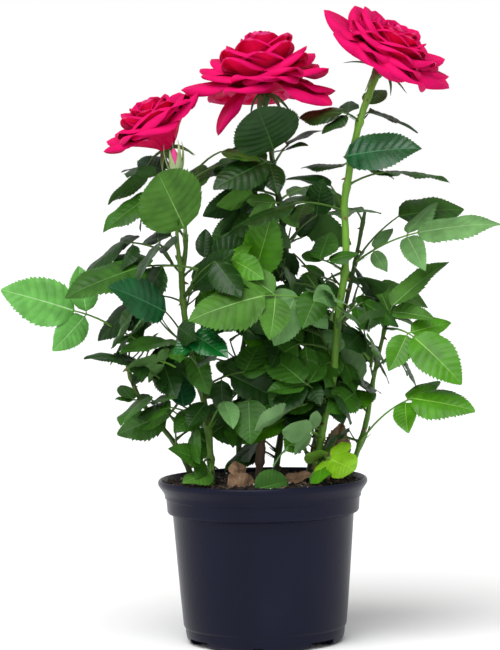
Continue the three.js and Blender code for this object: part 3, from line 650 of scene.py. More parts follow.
def leaflet(sheaf, base, along, normal, length, breadth, rng, fine=True, fold=12.0, curl=0.1,
            thickness=0.32 * MM, crumple=0.0):
    """Adds one toothed leaflet, folded up along its midrib, arched and quilted by its veins."""
    form = FINE_LEAF if fine else PLAIN_LEAF
    side = normal.cross(along)
    margin = form.rows + SWEEP * np.sin(math.pi * form.rows)
    margin = np.clip(margin, 0, 0.996)
    reach = np.abs(form.columns)[None, :] ** 1.2
    share = form.rows[:, None] + (margin - form.rows)[:, None] * reach
    half = breadth * length / 2 * outline(margin, breadth > 0.8)
    half = np.maximum(half, 0.12 * MM)
    x = form.columns[None, :] * half[:, None]
    is_rib = np.abs(form.columns) == RIB
    rib_half = np.minimum(RIB_HALF * length * (1.15 - form.rows), 0.3 * half)
    x[:, is_rib] = np.sign(form.columns[is_rib])[None, :] * rib_half[:, None]
    depth = TOOTH_DEPTH * length * np.minimum(1, 1.6 * outline(margin)) * form.teeth
    depth = depth * rng.uniform(0.8, 1.15)
    jitter = 1 + 0.25 * rng.standard_normal((len(form.rows), 2))
    x[:, 0] -= depth * jitter[:, 0]
    x[:, -1] += depth * jitter[:, 1]
    share[:, 0] += 0.45 * depth / length
    share[:, -1] += 0.45 * depth / length
    tilt = math.radians(fold + rng.uniform(-4, 6))
    away = np.abs(x)
    height = away * math.sin(tilt)
    x = x * math.cos(tilt)
    height = height - rng.uniform(0.05, 0.5) * away ** 2 / (breadth * length / 2)
    quilt = np.sin(math.pi * np.clip(np.abs(form.columns), 0, 1))[None, :] * form.relief[:, None]
    height = height + QUILT_DEPTH * length * quilt * np.minimum(1, 2 * outline(margin))[:, None]
    phase, beat = rng.uniform(0, 2 * math.pi, 2), rng.uniform(1.2, 2.4)
    ripple = np.sin(2 * math.pi * beat * share + np.where(x > 0, phase[0], phase[1]))
    height = height + RIPPLE * length * ripple * form.columns[None, :] ** 2
    height = height - (0.05 + curl * 0.5) * length * share ** 2
    height = height - curl * 1.6 * length * np.clip(share - 0.72, 0, 1) ** 1.5
    x = x + rng.uniform(-0.05, 0.05) * length * share ** 2
    turn = rng.uniform(-0.22, 0.22) * share
    x, height = x * np.cos(turn) - height * np.sin(turn), height * np.cos(turn) + x * np.sin(turn)
    grid = (np.array(base) + share[..., None] * length * np.array(along)
            + x[..., None] * np.array(side) + height[..., None] * np.array(normal))
    if crumple:
        shift = rng.uniform(0, 50)
        for index in np.ndindex(grid.shape[:2]):
            place = Vector(grid[index]) * CRUMPLE_SCALE + Vector((shift, 0, 0))
            grid[index] += crumple * np.array(noise.noise_vector(place))
    top = np.full((len(form.rows) - 1, len(form.columns) - 1), UPPER)
    top[:, np.flatnonzero(is_rib)[0]] = MIDRIB
    shell(sheaf, grid, thickness, top, UNDER)


def leaflets_of(foot, leaf, lift):
    """The joints and directions of a compound leaf: its end leaflet first, then its side pairs."""
    stalk_way, blade_way = heading(*leaf.stalk[:2]), heading(*leaf.blade[:2])
    reach, length = leaf.stalk[2] * MM, leaf.blade[2] * MM
    base = foot + stalk_way * reach
    normal = face_normal(blade_way, leaf.roll)
    leaflets = [(base, blade_way, normal, length)]
    size = length
    for pair in range(leaf.pairs):
        back = length * (FIRST_PAIR + PAIR_SPACING * pair)
        if back > reach * 0.9:
            break
        share = 1 - back / reach
        joint = foot + stalk_way * (reach - back) + lift * 4 * share * (1 - share)
        size *= PAIR_SCALE
        for hand in (-1, 1):
            along = Quaternion(normal, math.radians(hand * PAIR_ANGLE)) @ blade_way
            leaflets.append((joint, along, normal, size))
    return leaflets


LIGHT_STALK, DARK_STALK = range(2)
LIGHT_TINTS = ("fresh", "lime", "young", "pale", "matte")


def add_leaf(foliage, stalks, foot, radius, leaf, rng, fine=True):
    """Adds a compound leaf: an arched stalk with its stipules, and each leaflet on a short stalk."""
    stalk_way = heading(*leaf.stalk[:2])
    reach = leaf.stalk[2] * MM
    lift = face_normal(stalk_way, 0) * reach * rng.uniform(0.03, 0.07)
    base = foot + stalk_way * reach
    slot = LIGHT_STALK if leaf.tint in LIGHT_TINTS else DARK_STALK
    steps = max(5, int(reach / (5 * MM)))
    path = arc(foot, base, lift, steps)
    tip = np.array(base + heading(*leaf.blade[:2]) * 2 * MM)
    path = np.vstack([path, tip])
    widths = np.interp(np.linspace(0, 1, len(path)), (0, 0.12, 1), (1.35, 0.85, 0.55)) * MM
    tube(stalks, path, widths, 5, slot)
    if fine:
        add_stipules(stalks, foot, stalk_way, radius, rng, slot)
    for order, (joint, along, normal, length) in enumerate(leaflets_of(foot, leaf, lift)):
        start = joint
        if order:
            start = joint + along * 2 * MM
            end = start + along * 1.5 * MM
            tube(stalks, [joint, start, end], np.array((0.5, 0.45, 0.35)) * MM, 4, slot)
        habit = leaf.fold if order == 0 else leaf.fold + rng.uniform(-6, 12)
        leaflet(foliage[leaf.tint], start, along, normal, length * (0.97 if order else 1.0), leaf.breadth,
                rng, fine, habit, leaf.curl)


def add_stipules(sheaf, foot, way, radius, rng, slot):
    """A pair of narrow pointed wings along the foot of a leaf stalk."""
    normal = face_normal(way, 0)
    start = foot + way * radius * 0.8
    for hand in (-1, 1):
        out = normal.cross(way) * hand
        length, width = rng.uniform(7, 10) * MM, 1.7 * MM
        share = np.linspace(0, 1, 6)[:, None]
        spread = np.linspace(0, 1, 3)[None, :]
        if hand < 0:
            spread = spread[:, ::-1]
        along = share * length * (1 + 0.35 * spread)
        off = (0.35 * MM + width * spread * np.sin(math.pi * np.clip(share * 0.9 + 0.1, 0, 1)) ** 0.6
               + 1.4 * MM * spread * share ** 2)
        raised = 0.8 * MM * spread * share
        grid = (np.array(start) + along[..., None] * np.array(way) + off[..., None] * np.array(out)
                + raised[..., None] * np.array(normal))
        shell(sheaf, grid, 0.25 * MM, slot, slot)


def back_leaf(order):
    """The leaf of a far-side tuft, by its order."""
    first, sweep = BACK_FAN
    bearing = first + sweep * ((order * BACK_TURN) % 1)
    droop = -5 - ((order * 7) % 20)
    blade = 42 - ((order * 5) % 8)
    return Leaf((bearing, 15, 38), (bearing, droop, blade), 0, 1, BACK_TINTS[order % len(BACK_TINTS)])


def outward_roll(point, bearing, rise, roll):
    """The roll, to one hand or the other, that turns a leaf's face away from the crown's middle."""
    away = Vector((point[0], point[1], 0))
    along = heading(bearing, rise)
    return max((roll, -roll), key=lambda turn: face_normal(along, turn).dot(away))


def grow_shoot(foliage, stalks, start, way, length, level, rng, inside):
    """A side shoot that bends upward, carries leaves turned to either hand and straight on in turn, and
    may fork.
    """
    joints = 3 if level else 2
    path = [start]
    heading_now = way.copy()
    for _ in range(joints * 2):
        heading_now = (heading_now + Vector((0, 0, 0.12))).normalized()
        path.append(path[-1] + heading_now * length / (joints * 2))
    thin = 0.9 if level else 0.65
    tube(stalks, path, np.linspace(thin, thin * 0.6, len(path)) * MM, 5, DARK_STALK)
    out = math.degrees(math.atan2(way.y, way.x))
    for joint in range(1, joints + 1):
        point = path[joint * 2]
        bearing = out + SHOOT_SPREAD * (-1, 1, 0)[joint % 3] + rng.uniform(-30, 30)
        rise = rng.uniform(5, 45)
        blade = rng.uniform(*SHOOT_BLADE)
        tint = SHOOT_TINTS[int(rng.integers(len(SHOOT_TINTS)))]
        droop = rise - rng.uniform(25, 75)
        aside = bearing + rng.uniform(-25, 25)
        roll = outward_roll(point, aside, droop, rng.uniform(15, 70))
        leaf = Leaf((bearing, rise, blade * rng.uniform(0.5, 0.8)), (aside, droop, blade), roll,
                    int(rng.integers(0, 3)), tint, fold=rng.uniform(4, 18))
        if all(inside(at + along * size) for at, along, _, size in leaflets_of(point, leaf, Vector())):
            add_leaf(foliage, stalks, point, 0.8 * MM, leaf, rng, fine=False)
    if level:
        side = heading(out + 70 * (1 if rng.uniform() < 0.5 else -1), 30)
        grow_shoot(foliage, stalks, path[2], side, length * 0.6, level - 1, rng, inside)


MASS_MARGIN = 4 * MM
TIP_ROOM = 22 * MM


def mass_test():
    """A test of whether a point lies in one of the frame's foliage masses."""
    boxes = [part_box(name) for name in NODES if name.startswith("leaves_")]
    low = np.array([box[0] for box in boxes]) - MASS_MARGIN
    high = np.array([box[1] for box in boxes]) + MASS_MARGIN

    def inside(point):
        point = np.array(point)
        return bool(np.any(np.all((point > low) & (point < high), axis=1)))

    return inside


def check_tip(node, tip):
    """Stops if a leaf's tip is well away from the mass that it stands for."""
    low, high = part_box(node)
    for k in range(3):
        if not low[k] - TIP_ROOM <= tip[k] <= high[k] + TIP_ROOM:
            raise RuntimeError(f"a leaf of {node} leaves its mass")


# ---------------------------------------------------------------- blooms


def bloom_frame(axis):
    """Two directions across a bloom's axis, and the axis itself."""
    up = Vector(axis).normalized()
    across = up.cross(Vector((0, 1, 0))).normalized()
    return np.array(across), np.array(up.cross(across)), np.array(up)


def petal_grid(share, first, last, length, breadth, rng):
    """One petal as rows of (side, out, up): its lean runs from first to last, its margins roll back."""
    width = length * (0.43 + 0.13 * share) * breadth * rng.uniform(0.94, 1.06)
    u = np.linspace(0, 1, PETAL_ROWS)
    v = PETAL_COLUMNS
    ease = u ** 1.1 * (3 - 2 * u)
    lean = math.radians(first) + math.radians(last - first) * ease
    tip = np.clip((u - 0.7) / 0.3, 0, 1) ** 1.6
    lean = lean + math.radians(34 * share) * rng.uniform(0.2, 1.2) * tip
    step = length / (PETAL_ROWS - 1)
    out = (0.8 + 4.2 * share) * MM + np.concatenate([[0], np.cumsum(np.sin(lean[1:]))]) * step
    up = (5 - 5 * share) * MM + np.concatenate([[0], np.cumsum(np.cos(lean[1:]))]) * step
    fat = 0.52
    rise = np.clip(u / fat, 0, 1)
    fall = np.clip((u - fat) / (1 - fat), 0, 1)
    point = 0.56 + 0.24 * share
    half = width * np.where(u < fat, 0.14 + 0.86 * np.sin(rise * math.pi / 2) ** 0.9,
                            (1 - fall ** 2.1) ** point)
    half = np.maximum(half, 0.35 * MM)
    wrap = np.clip(half / (np.maximum(out, 0.5 * MM) + 3.0 * MM) * 1.05, 0.22, 2.2)
    roll = math.radians(25 + 155 * share ** 0.8) * np.clip((u - 0.22) / 0.45, 0, 1) ** 1.2
    knee = 0.66 - 0.14 * share
    parts = []
    for hand in (-1, 1):
        rolled = roll * rng.uniform(0.55, 1.15)
        fine = np.linspace(0, 1, PETAL_STEPS + 1)
        psi = np.where(fine[None, :] < knee, wrap[:, None] * fine[None, :],
                       wrap[:, None] * knee - rolled[:, None] * (fine[None, :] - knee) / (1 - knee))
        turns = []
        for part in (np.cos(psi), np.sin(psi)):
            summed = np.cumsum(part[:, 1:], axis=1) / PETAL_STEPS
            turns.append(np.hstack([np.zeros((len(u), 1)), summed]) * half[:, None])
        places = np.abs(v[v < 0])[::-1] if hand < 0 else v[v > 0]
        picks = np.round(places * PETAL_STEPS).astype(int)
        parts.append([part[:, picks] for part in turns])
    (left_x, left_y), (right_x, right_y) = parts
    zero = np.zeros((len(u), 1))
    x = np.hstack([-left_x[:, ::-1], zero, right_x])
    y = np.hstack([left_y[:, ::-1], zero, right_y])
    phase = rng.uniform(0, 2 * math.pi)
    wave = np.sin(2 * math.pi * 1.2 * u[:, None] + phase + 2 * v[None, :])
    y = y + 0.03 * half[:, None] * wave * np.abs(v)[None, :] ** 2
    y = y + rng.uniform(-0.14, 0.14) * half[:, None] * v[None, :] * u[:, None]
    radial = out[:, None] - y * np.cos(lean)[:, None]
    axial = up[:, None] + y * np.sin(lean)[:, None]
    return np.stack([x, radial, axial], axis=-1)


PETAL_ROWS = 17
PETAL_STEPS = 24            # small steps from a petal's midline to its margin
HALF_COLUMNS = np.array((5, 10, 13, 15, 17, 18, 19, 20, 21, 22, 23, 24)) / PETAL_STEPS
PETAL_COLUMNS = np.concatenate([-HALF_COLUMNS[::-1], [0], HALF_COLUMNS])
# The heart's finish is painted shade and glow deep in the bloom; the rim's finish is a painted highlight
# on the rolled margins and tips.
HEART_SHADE_GLOW, RIM_HIGHLIGHT, BACK, FACE = range(4)   # the order of a petal's finishes
PETAL_THICKNESS = 0.4 * MM


def petal_slots(share):
    """The finishes of a petal's inner face: a narrow pale rim of painted highlight, round a face painted
    redder inside as the shade and glow of the bloom's heart.
    """
    u = (np.arange(PETAL_ROWS - 1) + 0.5) / (PETAL_ROWS - 1)
    v = np.abs(PETAL_COLUMNS[1:] + PETAL_COLUMNS[:-1]) / 2
    # inner petals and the feet of the outer ones take the heart's deep red: painted shade and glow deep
    # in the bloom
    face = np.where(u > 0.75 - share, FACE, HEART_SHADE_GLOW)[:, None]
    # margins and tips: a paler pink painted on as the highlight of the rolled rims
    highlight_band = (v[None, :] > 0.78) | (u[:, None] > 0.93)
    return np.where(highlight_band & (u[:, None] > 0.3), RIM_HIGHLIGHT, face)


def model_bloom(name, look):
    """A bloom's petals, spiralled out by the golden turn round its axis."""
    spec = BLOOMS[name]
    rng = np.random.default_rng(look.seed + spec["seed"])
    side, forward, up = bloom_frame(spec["axis"])
    petals = []

    def place(share, turn, grid):
        turn = math.radians(turn)
        x = grid[..., 1] * math.cos(turn) - grid[..., 0] * math.sin(turn)
        y = grid[..., 1] * math.sin(turn) + grid[..., 0] * math.cos(turn)
        petals.append((share, np.stack([x, y, grid[..., 2]], axis=-1)))

    for order in range(spec["heart"]):
        share = order / spec["heart"]
        low, high = spec["heart_length"]
        length = (low + (high - low) * share ** 0.7) * MM * rng.uniform(0.94, 1.06)
        last = -10 + (spec["heart_open"] + 10) * share ** 0.75 + rng.uniform(-7, 7) * share
        grid = petal_grid(0.72 * share, 2 + 0.6 * spec["heart_open"] * share, last, length, 0.95, rng)
        place(share, order * GOLDEN_TURN + rng.uniform(-8, 8), grid)
    for order, (turn, opening, length, breadth) in enumerate(spec["outer"]):
        share = 0.72 + 0.28 * order / len(spec["outer"])
        first = min(opening * 0.72, 72)
        grid = petal_grid(share, first, opening + rng.uniform(-3, 3), length * MM, breadth, rng)
        place(share, turn + rng.uniform(-4, 4), grid)
    sheaf = Sheaf()
    foot = np.array(spec["foot"]) * MM
    for share, grid in petals:
        placed = foot + grid[..., :1] * side + grid[..., 1:2] * forward + grid[..., 2:] * up
        shell(sheaf, placed[:, ::-1], PETAL_THICKNESS, petal_slots(share)[:, ::-1], BACK)
    piece = sheaf.build(f"petals_{name}", petal_finishes(look), 60)
    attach(piece, BODY)
    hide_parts(name)
    return piece


def petal_finishes(look):
    """The finishes of a petal: painted shade and glow deep in the heart, painted highlight on the pale
    rim, back, and open face.
    """
    heart, rim_highlight, back, face = tuple(look.heart), tuple(look.rim_highlight), tuple(look.back), tuple(look.face)
    return (
        finish_of("petal_heart_shade_glow", shaded(heart, 0.82), shaded(heart, 1.12), 70, 0.6, 0.3, 500, shine=0.05),
        finish_of("petal_rim_highlight", shaded(rim_highlight, 0.9), shaded(rim_highlight, 1.1), 80, 0.55, 0.3, 500, shine=0.08),
        finish_of("petal_back", shaded(back, 0.85), shaded(back, 1.1), 70, 0.6, 0.3, 500, shine=0.05),
        finish_of("petal_face", shaded(face, 0.85), shaded(face, 1.12), 70, 0.6, 0.3, 500, shine=0.05),
    )


SEPAL_TURN = 144            # two fifths of a turn


def add_calyx(sheaf, foot, axis, size, open_angle, bend, rng, broad=3.1, start=0,
              outside=0):
    """The swollen hip under a bloom and its five sepals, opened and then bent on.

    A sepal is broad at its foot by a half width in millimetres, the first one stands at the start
    angle, and outside is the number of the finish on its outer face.
    """
    side, forward, up = bloom_frame(axis)
    foot = np.array(foot) * MM
    heights = np.array((-9, -7, -4.5, -2, 0.5, 2.5)) * size * MM
    radii = np.array((1.6, 2.6, 4.0, 4.5, 4.3, 2.0)) * size * MM
    tube(sheaf, [foot + up * h for h in heights], radii, 12, 0)
    for order in range(5):
        turn = math.radians(start + order * SEPAL_TURN + rng.uniform(-12, 12))
        out = math.cos(turn) * side + math.sin(turn) * forward
        across = np.cross(up, out)
        length = rng.uniform(20, 28) * size * MM
        share = np.linspace(0, 1, 11)
        lean = np.radians(open_angle * rng.uniform(0.85, 1.15)) + np.radians(rng.uniform(*bend)) * share
        step = length / 10
        along = np.concatenate([[0], np.cumsum(np.sin(lean[1:]))]) * step
        rise = np.concatenate([[0], np.cumsum(np.cos(lean[1:]))]) * step
        half = broad * size * MM * np.maximum(0.08, (1 - share ** 1.3))
        half *= 1 - 0.3 * np.exp(-(share / 0.1) ** 2)
        v = np.linspace(-1, 1, 5)
        cup = 0.5 * half[:, None] * v[None, :] ** 2
        hollow = cup[..., None] * np.cos(lean)[:, None, None]
        grid = (foot + (3.4 * size * MM + along[:, None, None] - hollow) * out
                + (rise[:, None, None] + cup[..., None] * np.sin(lean)[:, None, None]) * up
                + (half[:, None] * v[None, :])[..., None] * across)
        shell(sheaf, grid, 0.3 * MM, 1, outside)


BUD_RADIUS = 4.6 * MM
BUD_LENGTH = 17 * MM


def model_bud(look):
    """The closed bud's three wrapped petals; returns the random source for its sepals."""
    foot = np.array(BUD["foot"]) * MM
    side, forward, up = bloom_frame(BUD["axis"])
    rng = np.random.default_rng(look.seed + 40)
    petals = Sheaf()
    for order in range(3):
        turn = order * 2 * math.pi / 3
        u = np.linspace(0, 1, 13)
        v = np.linspace(-1, 1, 11)
        swell = np.sin(np.clip(u * 0.86 + 0.12, 0, 1) * math.pi) ** 0.7
        radius = BUD_RADIUS * swell * (1 - 0.5 * u) + 0.3 * MM
        angle = turn + v[None, :] * 1.7 + u[:, None] * 0.8
        out = radius[:, None] * (1 + 0.05 * v[None, :]) + 0.2 * MM * order
        grid = (foot + (out * np.cos(angle))[..., None] * side
                + (out * np.sin(angle))[..., None] * forward
                + (2 * MM + u * BUD_LENGTH)[:, None, None] * up)
        # the bud's petals all take the paler pink of the rims' painted highlight
        shell(petals, grid[:, ::-1], 0.35 * MM, RIM_HIGHLIGHT, RIM_HIGHLIGHT)
    piece = petals.build("petals_bud", petal_finishes(look), 60)
    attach(piece, BODY)
    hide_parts("bud")
    return rng


# ---------------------------------------------------------------- pot and soil

POT_SIDES = 128
# Radius and height, from the raised foot out, up the wall, over the rim and down inside.
POT_PROFILE = (
    (30, 0), (31, 0.6), (33, 4), (46, 4), (48, 0.6), (49.2, 0), (52.2, 0), (54.6, 0.7), (56, 2.2),
    (56.8, 5), (57.3, 8), (57.4, 10.4), (58.2, 11.3), (58.7, 12.6), (60.4, 33), (62.1, 54), (63.8, 76),
    (65, 90.8), (65.3, 91.8), (66.6, 92.4), (68.2, 93.1), (68.9, 94.2), (69, 95.8), (69.3, 100),
    (69.5, 102.6), (69.7, 103.3),
    (70.3, 103.8), (70.5, 104.6), (70.7, 106.4), (71.4, 107.9), (73, 110.2), (74.3, 112.2), (75, 113.2),
    (75.2, 114.4), (75, 115.8), (74.4, 116.6), (73.6, 117), (72.9, 116.7), (72.4, 115.6), (71.6, 113.4),
    (70.2, 110), (69, 107.4), (68.2, 104), (67.5, 98), (67, 95), (63.2, 91), (60.2, 52), (57, 7), (55, 6),
)
# Drain notches through the foot: bearing, width and height.
NOTCHES = ((-59, 24, 4.5), (46.5, 24, 4.5), (121, 24, 4.5), (226.5, 24, 4.5), (-5.5, 7, 3), (174.5, 7, 3))


def turned_body(profile, sides, name):
    """A round body drawn out ring by ring from a circle, by extruding and scaling its open edge."""
    bpy.ops.object.select_all(action="DESELECT")
    radius, height = profile[0]
    bpy.ops.mesh.primitive_circle_add(vertices=sides, radius=radius * MM, location=(0, 0, height * MM))
    piece = bpy.context.view_layer.objects.active
    piece.name = piece.data.name = name
    bpy.ops.object.transform_apply(location=True, rotation=True, scale=True)
    bpy.ops.object.mode_set(mode="EDIT")
    bpy.ops.mesh.select_all(action="SELECT")
    for new_radius, new_height in profile[1:]:
        lift = (0, 0, (new_height - height) * MM)
        bpy.ops.mesh.extrude_region_move(TRANSFORM_OT_translate={"value": lift})
        grow = new_radius / radius
        bpy.ops.transform.resize(value=(grow, grow, 1), center_override=(0, 0, new_height * MM))
        radius, height = new_radius, new_height
    bpy.ops.mesh.edge_face_add()
    bpy.ops.mesh.select_all(action="DESELECT")
    bpy.ops.object.mode_set(mode="OBJECT")
    return piece


def close_ring(piece, radius, height):
    """Fills the open ring of a radius at a height, then turns every face outward."""
    for vertex in piece.data.vertices:
        off = math.hypot(vertex.co.x, vertex.co.y) - radius * MM
        vertex.select = abs(off) < 0.05 * MM and abs(vertex.co.z - height * MM) < 0.05 * MM
    bpy.ops.object.mode_set(mode="EDIT")
    bpy.ops.mesh.select_mode(type="VERT")
    bpy.ops.mesh.edge_face_add()
    bpy.ops.mesh.select_all(action="SELECT")
    bpy.ops.mesh.normals_make_consistent(inside=False)
    bpy.ops.object.mode_set(mode="OBJECT")


def cut_notch(piece, bearing, width, height):
    """Cuts a drain notch through the foot of the pot's wall."""
    bpy.ops.object.select_all(action="DESELECT")
    bpy.ops.mesh.primitive_cube_add(size=1, location=(0, -55 * MM, 0))
    cutter = bpy.context.view_layer.objects.active
    cutter.scale = (width * MM, 16 * MM, 2 * height * MM)
    bpy.ops.object.transform_apply(location=True, rotation=True, scale=True)
    bpy.ops.object.mode_set(mode="EDIT")
    bpy.ops.mesh.bevel(offset=1.2 * MM, segments=3, affect="EDGES")
    bpy.ops.object.mode_set(mode="OBJECT")
    cutter.rotation_euler.z = math.radians(bearing)
    bpy.ops.object.transform_apply(location=True, rotation=True, scale=True)
    modifier = piece.modifiers.new("notch", "BOOLEAN")
    modifier.operation = "DIFFERENCE"
    modifier.solver = "EXACT"
    modifier.object = cutter
    select_only(piece)
    bpy.ops.object.modifier_apply(modifier="notch")
    bpy.data.objects.remove(cutter)


def displace(piece, name, size, strength, group=None):
    """Applies a soft uneven relief of a size and a depth."""
    texture = bpy.data.textures.new(name, "CLOUDS")
    texture.noise_scale = size
    modifier = piece.modifiers.new(name, "DISPLACE")
    modifier.texture = texture
    modifier.texture_coords = "LOCAL"
    modifier.strength = strength
    if group:
        modifier.vertex_group = group
        modifier.direction = "Z"
    select_only(piece)
    bpy.ops.object.modifier_apply(modifier=name)


SOIL_RADIUS = 71
SOIL_FOOT = 109
SOIL_RINGS = 30
CRUMBS, BARK_BITS, GRAINS = 1500, 170, 70


def model_soil_bed(look):
    """The bed of soil: a disc drawn in by insets, then made uneven inside its edge."""
    bpy.ops.object.select_all(action="DESELECT")
    bpy.ops.mesh.primitive_circle_add(vertices=112, radius=SOIL_RADIUS * MM, fill_type="NGON",
                                      location=(0, 0, SOIL_FOOT * MM))
    piece = bpy.context.view_layer.objects.active
    piece.name = piece.data.name = "soil_bed"
    bpy.ops.object.transform_apply(location=True, rotation=True, scale=True)
    bpy.ops.object.mode_set(mode="EDIT")
    bpy.ops.mesh.select_all(action="SELECT")
    rise = (0, 0, (look.soil_level - SOIL_FOOT * MM))
    bpy.ops.mesh.extrude_region_move(TRANSFORM_OT_translate={"value": rise})
    for _ in range(SOIL_RINGS):
        bpy.ops.mesh.inset(thickness=SOIL_RADIUS * MM / (SOIL_RINGS + 1))
    bpy.ops.mesh.poke()
    bpy.ops.mesh.select_all(action="SELECT")
    bpy.ops.mesh.normals_make_consistent(inside=False)
    bpy.ops.object.mode_set(mode="OBJECT")
    group = piece.vertex_groups.new(name="top")
    for vertex in piece.data.vertices:
        if vertex.co.z > look.soil_level - MM:
            edge = SOIL_RADIUS * MM - math.hypot(vertex.co.x, vertex.co.y)
            group.add([vertex.index], min(1.0, max(0.0, edge / (6 * MM))), "REPLACE")
    displace(piece, "soil_swell", 30 * MM, 7 * MM, "top")
    displace(piece, "soil_lumps", 6 * MM, 5 * MM, "top")
    displace(piece, "soil_grain", 2 * MM, 2 * MM, "top")
    select_only(piece)
    bpy.ops.object.shade_smooth_by_angle(angle=math.radians(40))
    return piece


def lump(sheaf, centre, size, flat, rng, slot=0):
    """Adds one small uneven lump of twenty faces."""
    points = ICO_POINTS * (1 + 0.22 * rng.standard_normal((12, 1)))
    turn = np.array(Quaternion(rng.standard_normal(4)).normalized().to_matrix())
    points = (points * np.array(flat)) @ turn.T * size + np.array(centre)
    sheaf.add(points, ICO_FACES, slot)


def icosahedron():
    """The points and faces of an icosahedron of unit radius."""
    ratio = (1 + math.sqrt(5)) / 2
    points = []
    for a in (-1, 1):
        for b in (-ratio, ratio):
            points += [(0, a, b), (a, b, 0), (b, 0, a)]
    points = np.array(points) / math.hypot(1, ratio)
    faces = []
    near = 2 / math.hypot(1, ratio) * 1.01
    for i in range(12):
        for j in range(i + 1, 12):
            for k in range(j + 1, 12):
                gaps = [np.linalg.norm(points[p] - points[q]) for p, q in ((i, j), (j, k), (i, k))]
                if max(gaps) < near:
                    normal = np.cross(points[j] - points[i], points[k] - points[i])
                    outward = np.dot(normal, points[i]) > 0
                    faces.append((i, j, k) if outward else (i, k, j))
    return points, np.array(faces)


ICO_POINTS, ICO_FACES = icosahedron()


def scatter_soil(bed, rng):
    """Crumbs of soil, bark bits and white grains lying on the bed."""
    crumbs, bark, grains = Sheaf(), Sheaf(), Sheaf()

    def ground():
        reach = SOIL_RADIUS * MM * math.sqrt(rng.uniform(0, 0.96))
        turn = rng.uniform(0, 2 * math.pi)
        x, y = reach * math.cos(turn), reach * math.sin(turn)
        hit, place, _, _ = bed.ray_cast(Vector((x, y, 160 * MM)), Vector((0, 0, -1)))
        return place if hit else Vector((x, y, 113 * MM))

    for _ in range(CRUMBS):
        size = rng.uniform(0.5, 1.9) * MM
        lump(crumbs, ground(), size, rng.uniform(0.6, 1.0, 3), rng)
    for _ in range(BARK_BITS):
        size = rng.uniform(1.6, 4.2) * MM
        place = ground() + Vector((0, 0, 0.5 * MM))
        lump(bark, place, size, (1, rng.uniform(0.25, 0.5), rng.uniform(0.2, 0.35)), rng)
    for _ in range(GRAINS):
        lump(grains, ground() + Vector((0, 0, 0.4 * MM)), rng.uniform(0.4, 1.1) * MM, (1, 0.9, 0.8), rng)
    return crumbs, bark, grains


# ---------------------------------------------------------------- settings


class RosePotSettings(bpy.types.PropertyGroup):
    """Sizes and colours of the pot and its soil."""

    colour: bpy.props.FloatVectorProperty(
        name="Plastic", description="Base colour of the pot", subtype="COLOR", size=3,
        default=(0.0065, 0.0072, 0.0185))
    dents: bpy.props.FloatProperty(
        name="Dents", description="Depth of the soft dents in the pot's wall", unit="LENGTH",
        default=0.5 * MM)
    soil: bpy.props.FloatVectorProperty(
        name="Soil", description="Base colour of the moist soil", subtype="COLOR", size=3,
        default=(0.014, 0.0095, 0.0075))
    soil_level: bpy.props.FloatProperty(
        name="Soil level", description="Height of the soil's top", unit="LENGTH", default=113.5 * MM)
    seed: bpy.props.IntProperty(name="Seed", description="Seed of crumbs and bark bits", default=7)


class RoseCaneSettings(bpy.types.PropertyGroup):
    """Relief of the canes."""

    bark: bpy.props.FloatProperty(
        name="Bark relief", description="Strength of the canes' lumps and grain", subtype="FACTOR",
        default=1.0)
    seed: bpy.props.IntProperty(name="Seed", description="Seed of the prickles", default=21)


class RoseLeafSettings(bpy.types.PropertyGroup):
    """Habit of the foliage."""

    light_stalk: bpy.props.FloatVectorProperty(
        name="Light stalks", description="Colour of young leaf stalks", subtype="COLOR", size=3,
        default=(0.130, 0.290, 0.045))
    dark_stalk: bpy.props.FloatVectorProperty(
        name="Dark stalks", description="Colour of old leaf stalks", subtype="COLOR", size=3,
        default=(0.060, 0.130, 0.022))
    seed: bpy.props.IntProperty(name="Seed", description="Seed of folds, curls and shoots", default=4)


class RosePetalSettings(bpy.types.PropertyGroup):
    """Colours of the petals."""

    # Painted shade and glow: the deep red of the petals that lie deep in the bloom.
    heart: bpy.props.FloatVectorProperty(
        name="Heart", description="Colour of a petal's inner face", subtype="COLOR", size=3,
        default=(0.80, 0.002, 0.036))
    # Painted highlight: the paler pink laid on the petals' rolled rims and tips.
    rim_highlight: bpy.props.FloatVectorProperty(
        name="Rim", description="Colour of a petal's rolled rim", subtype="COLOR", size=3,
        default=(0.94, 0.095, 0.350))
    back: bpy.props.FloatVectorProperty(
        name="Back", description="Colour of a petal's back", subtype="COLOR", size=3,
        default=(0.66, 0.004, 0.115))
    face: bpy.props.FloatVectorProperty(
        name="Face", description="Inner face of an open petal", subtype="COLOR", size=3,
        default=(0.84, 0.006, 0.095))
    seed: bpy.props.IntProperty(name="Seed", description="Seed of the petals", default=0)


class RoseStageSettings(bpy.types.PropertyGroup):
    """Floor, light and camera."""

    floor: bpy.props.FloatVectorProperty(
        name="Floor", description="Colour of the pale floor", subtype="COLOR", size=3,
        default=(0.93, 0.93, 0.93))
    sky: bpy.props.FloatProperty(
        name="Sky", description="Strength of the even light from overhead", default=0.45)
    light: bpy.props.FloatProperty(
        name="Light", description="Strength of the big soft light from the upper left", default=3.0)
    lens: bpy.props.FloatProperty(
        name="Lens", description="Focal length of the camera", subtype="DISTANCE_CAMERA",
        default=155.1)


# ---------------------------------------------------------------- operators


class ROSE_OT_pot(bpy.types.Operator):
    """Turn the pot, cut its drain notches and give it its satin plastic."""

    bl_idname = "rose.pot"
    bl_label = "Pot"

    def execute(self, context):
        look = context.scene.rose_pot
        pot = turned_body(POT_PROFILE, POT_SIDES, "nursery_pot")
        close_ring(pot, *POT_PROFILE[0])
        displace(pot, "pot_dents", 45 * MM, look.dents)
        for bearing, width, height in NOTCHES:
            cut_notch(pot, bearing, width, height)
        select_only(pot)
        bpy.ops.object.shade_smooth_by_angle(angle=math.radians(32))
        colour = tuple(look.colour)
        pot.data.materials.append(finish_of(
            "satin_plastic", shaded(colour, 0.8), shaded(colour, 1.3), 14, 0.30, 0.2, 600, shine=0.10,
            stretch=(1, 1, 0.4)))
        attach(pot, BODY)
        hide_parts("pot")
        return {"FINISHED"}


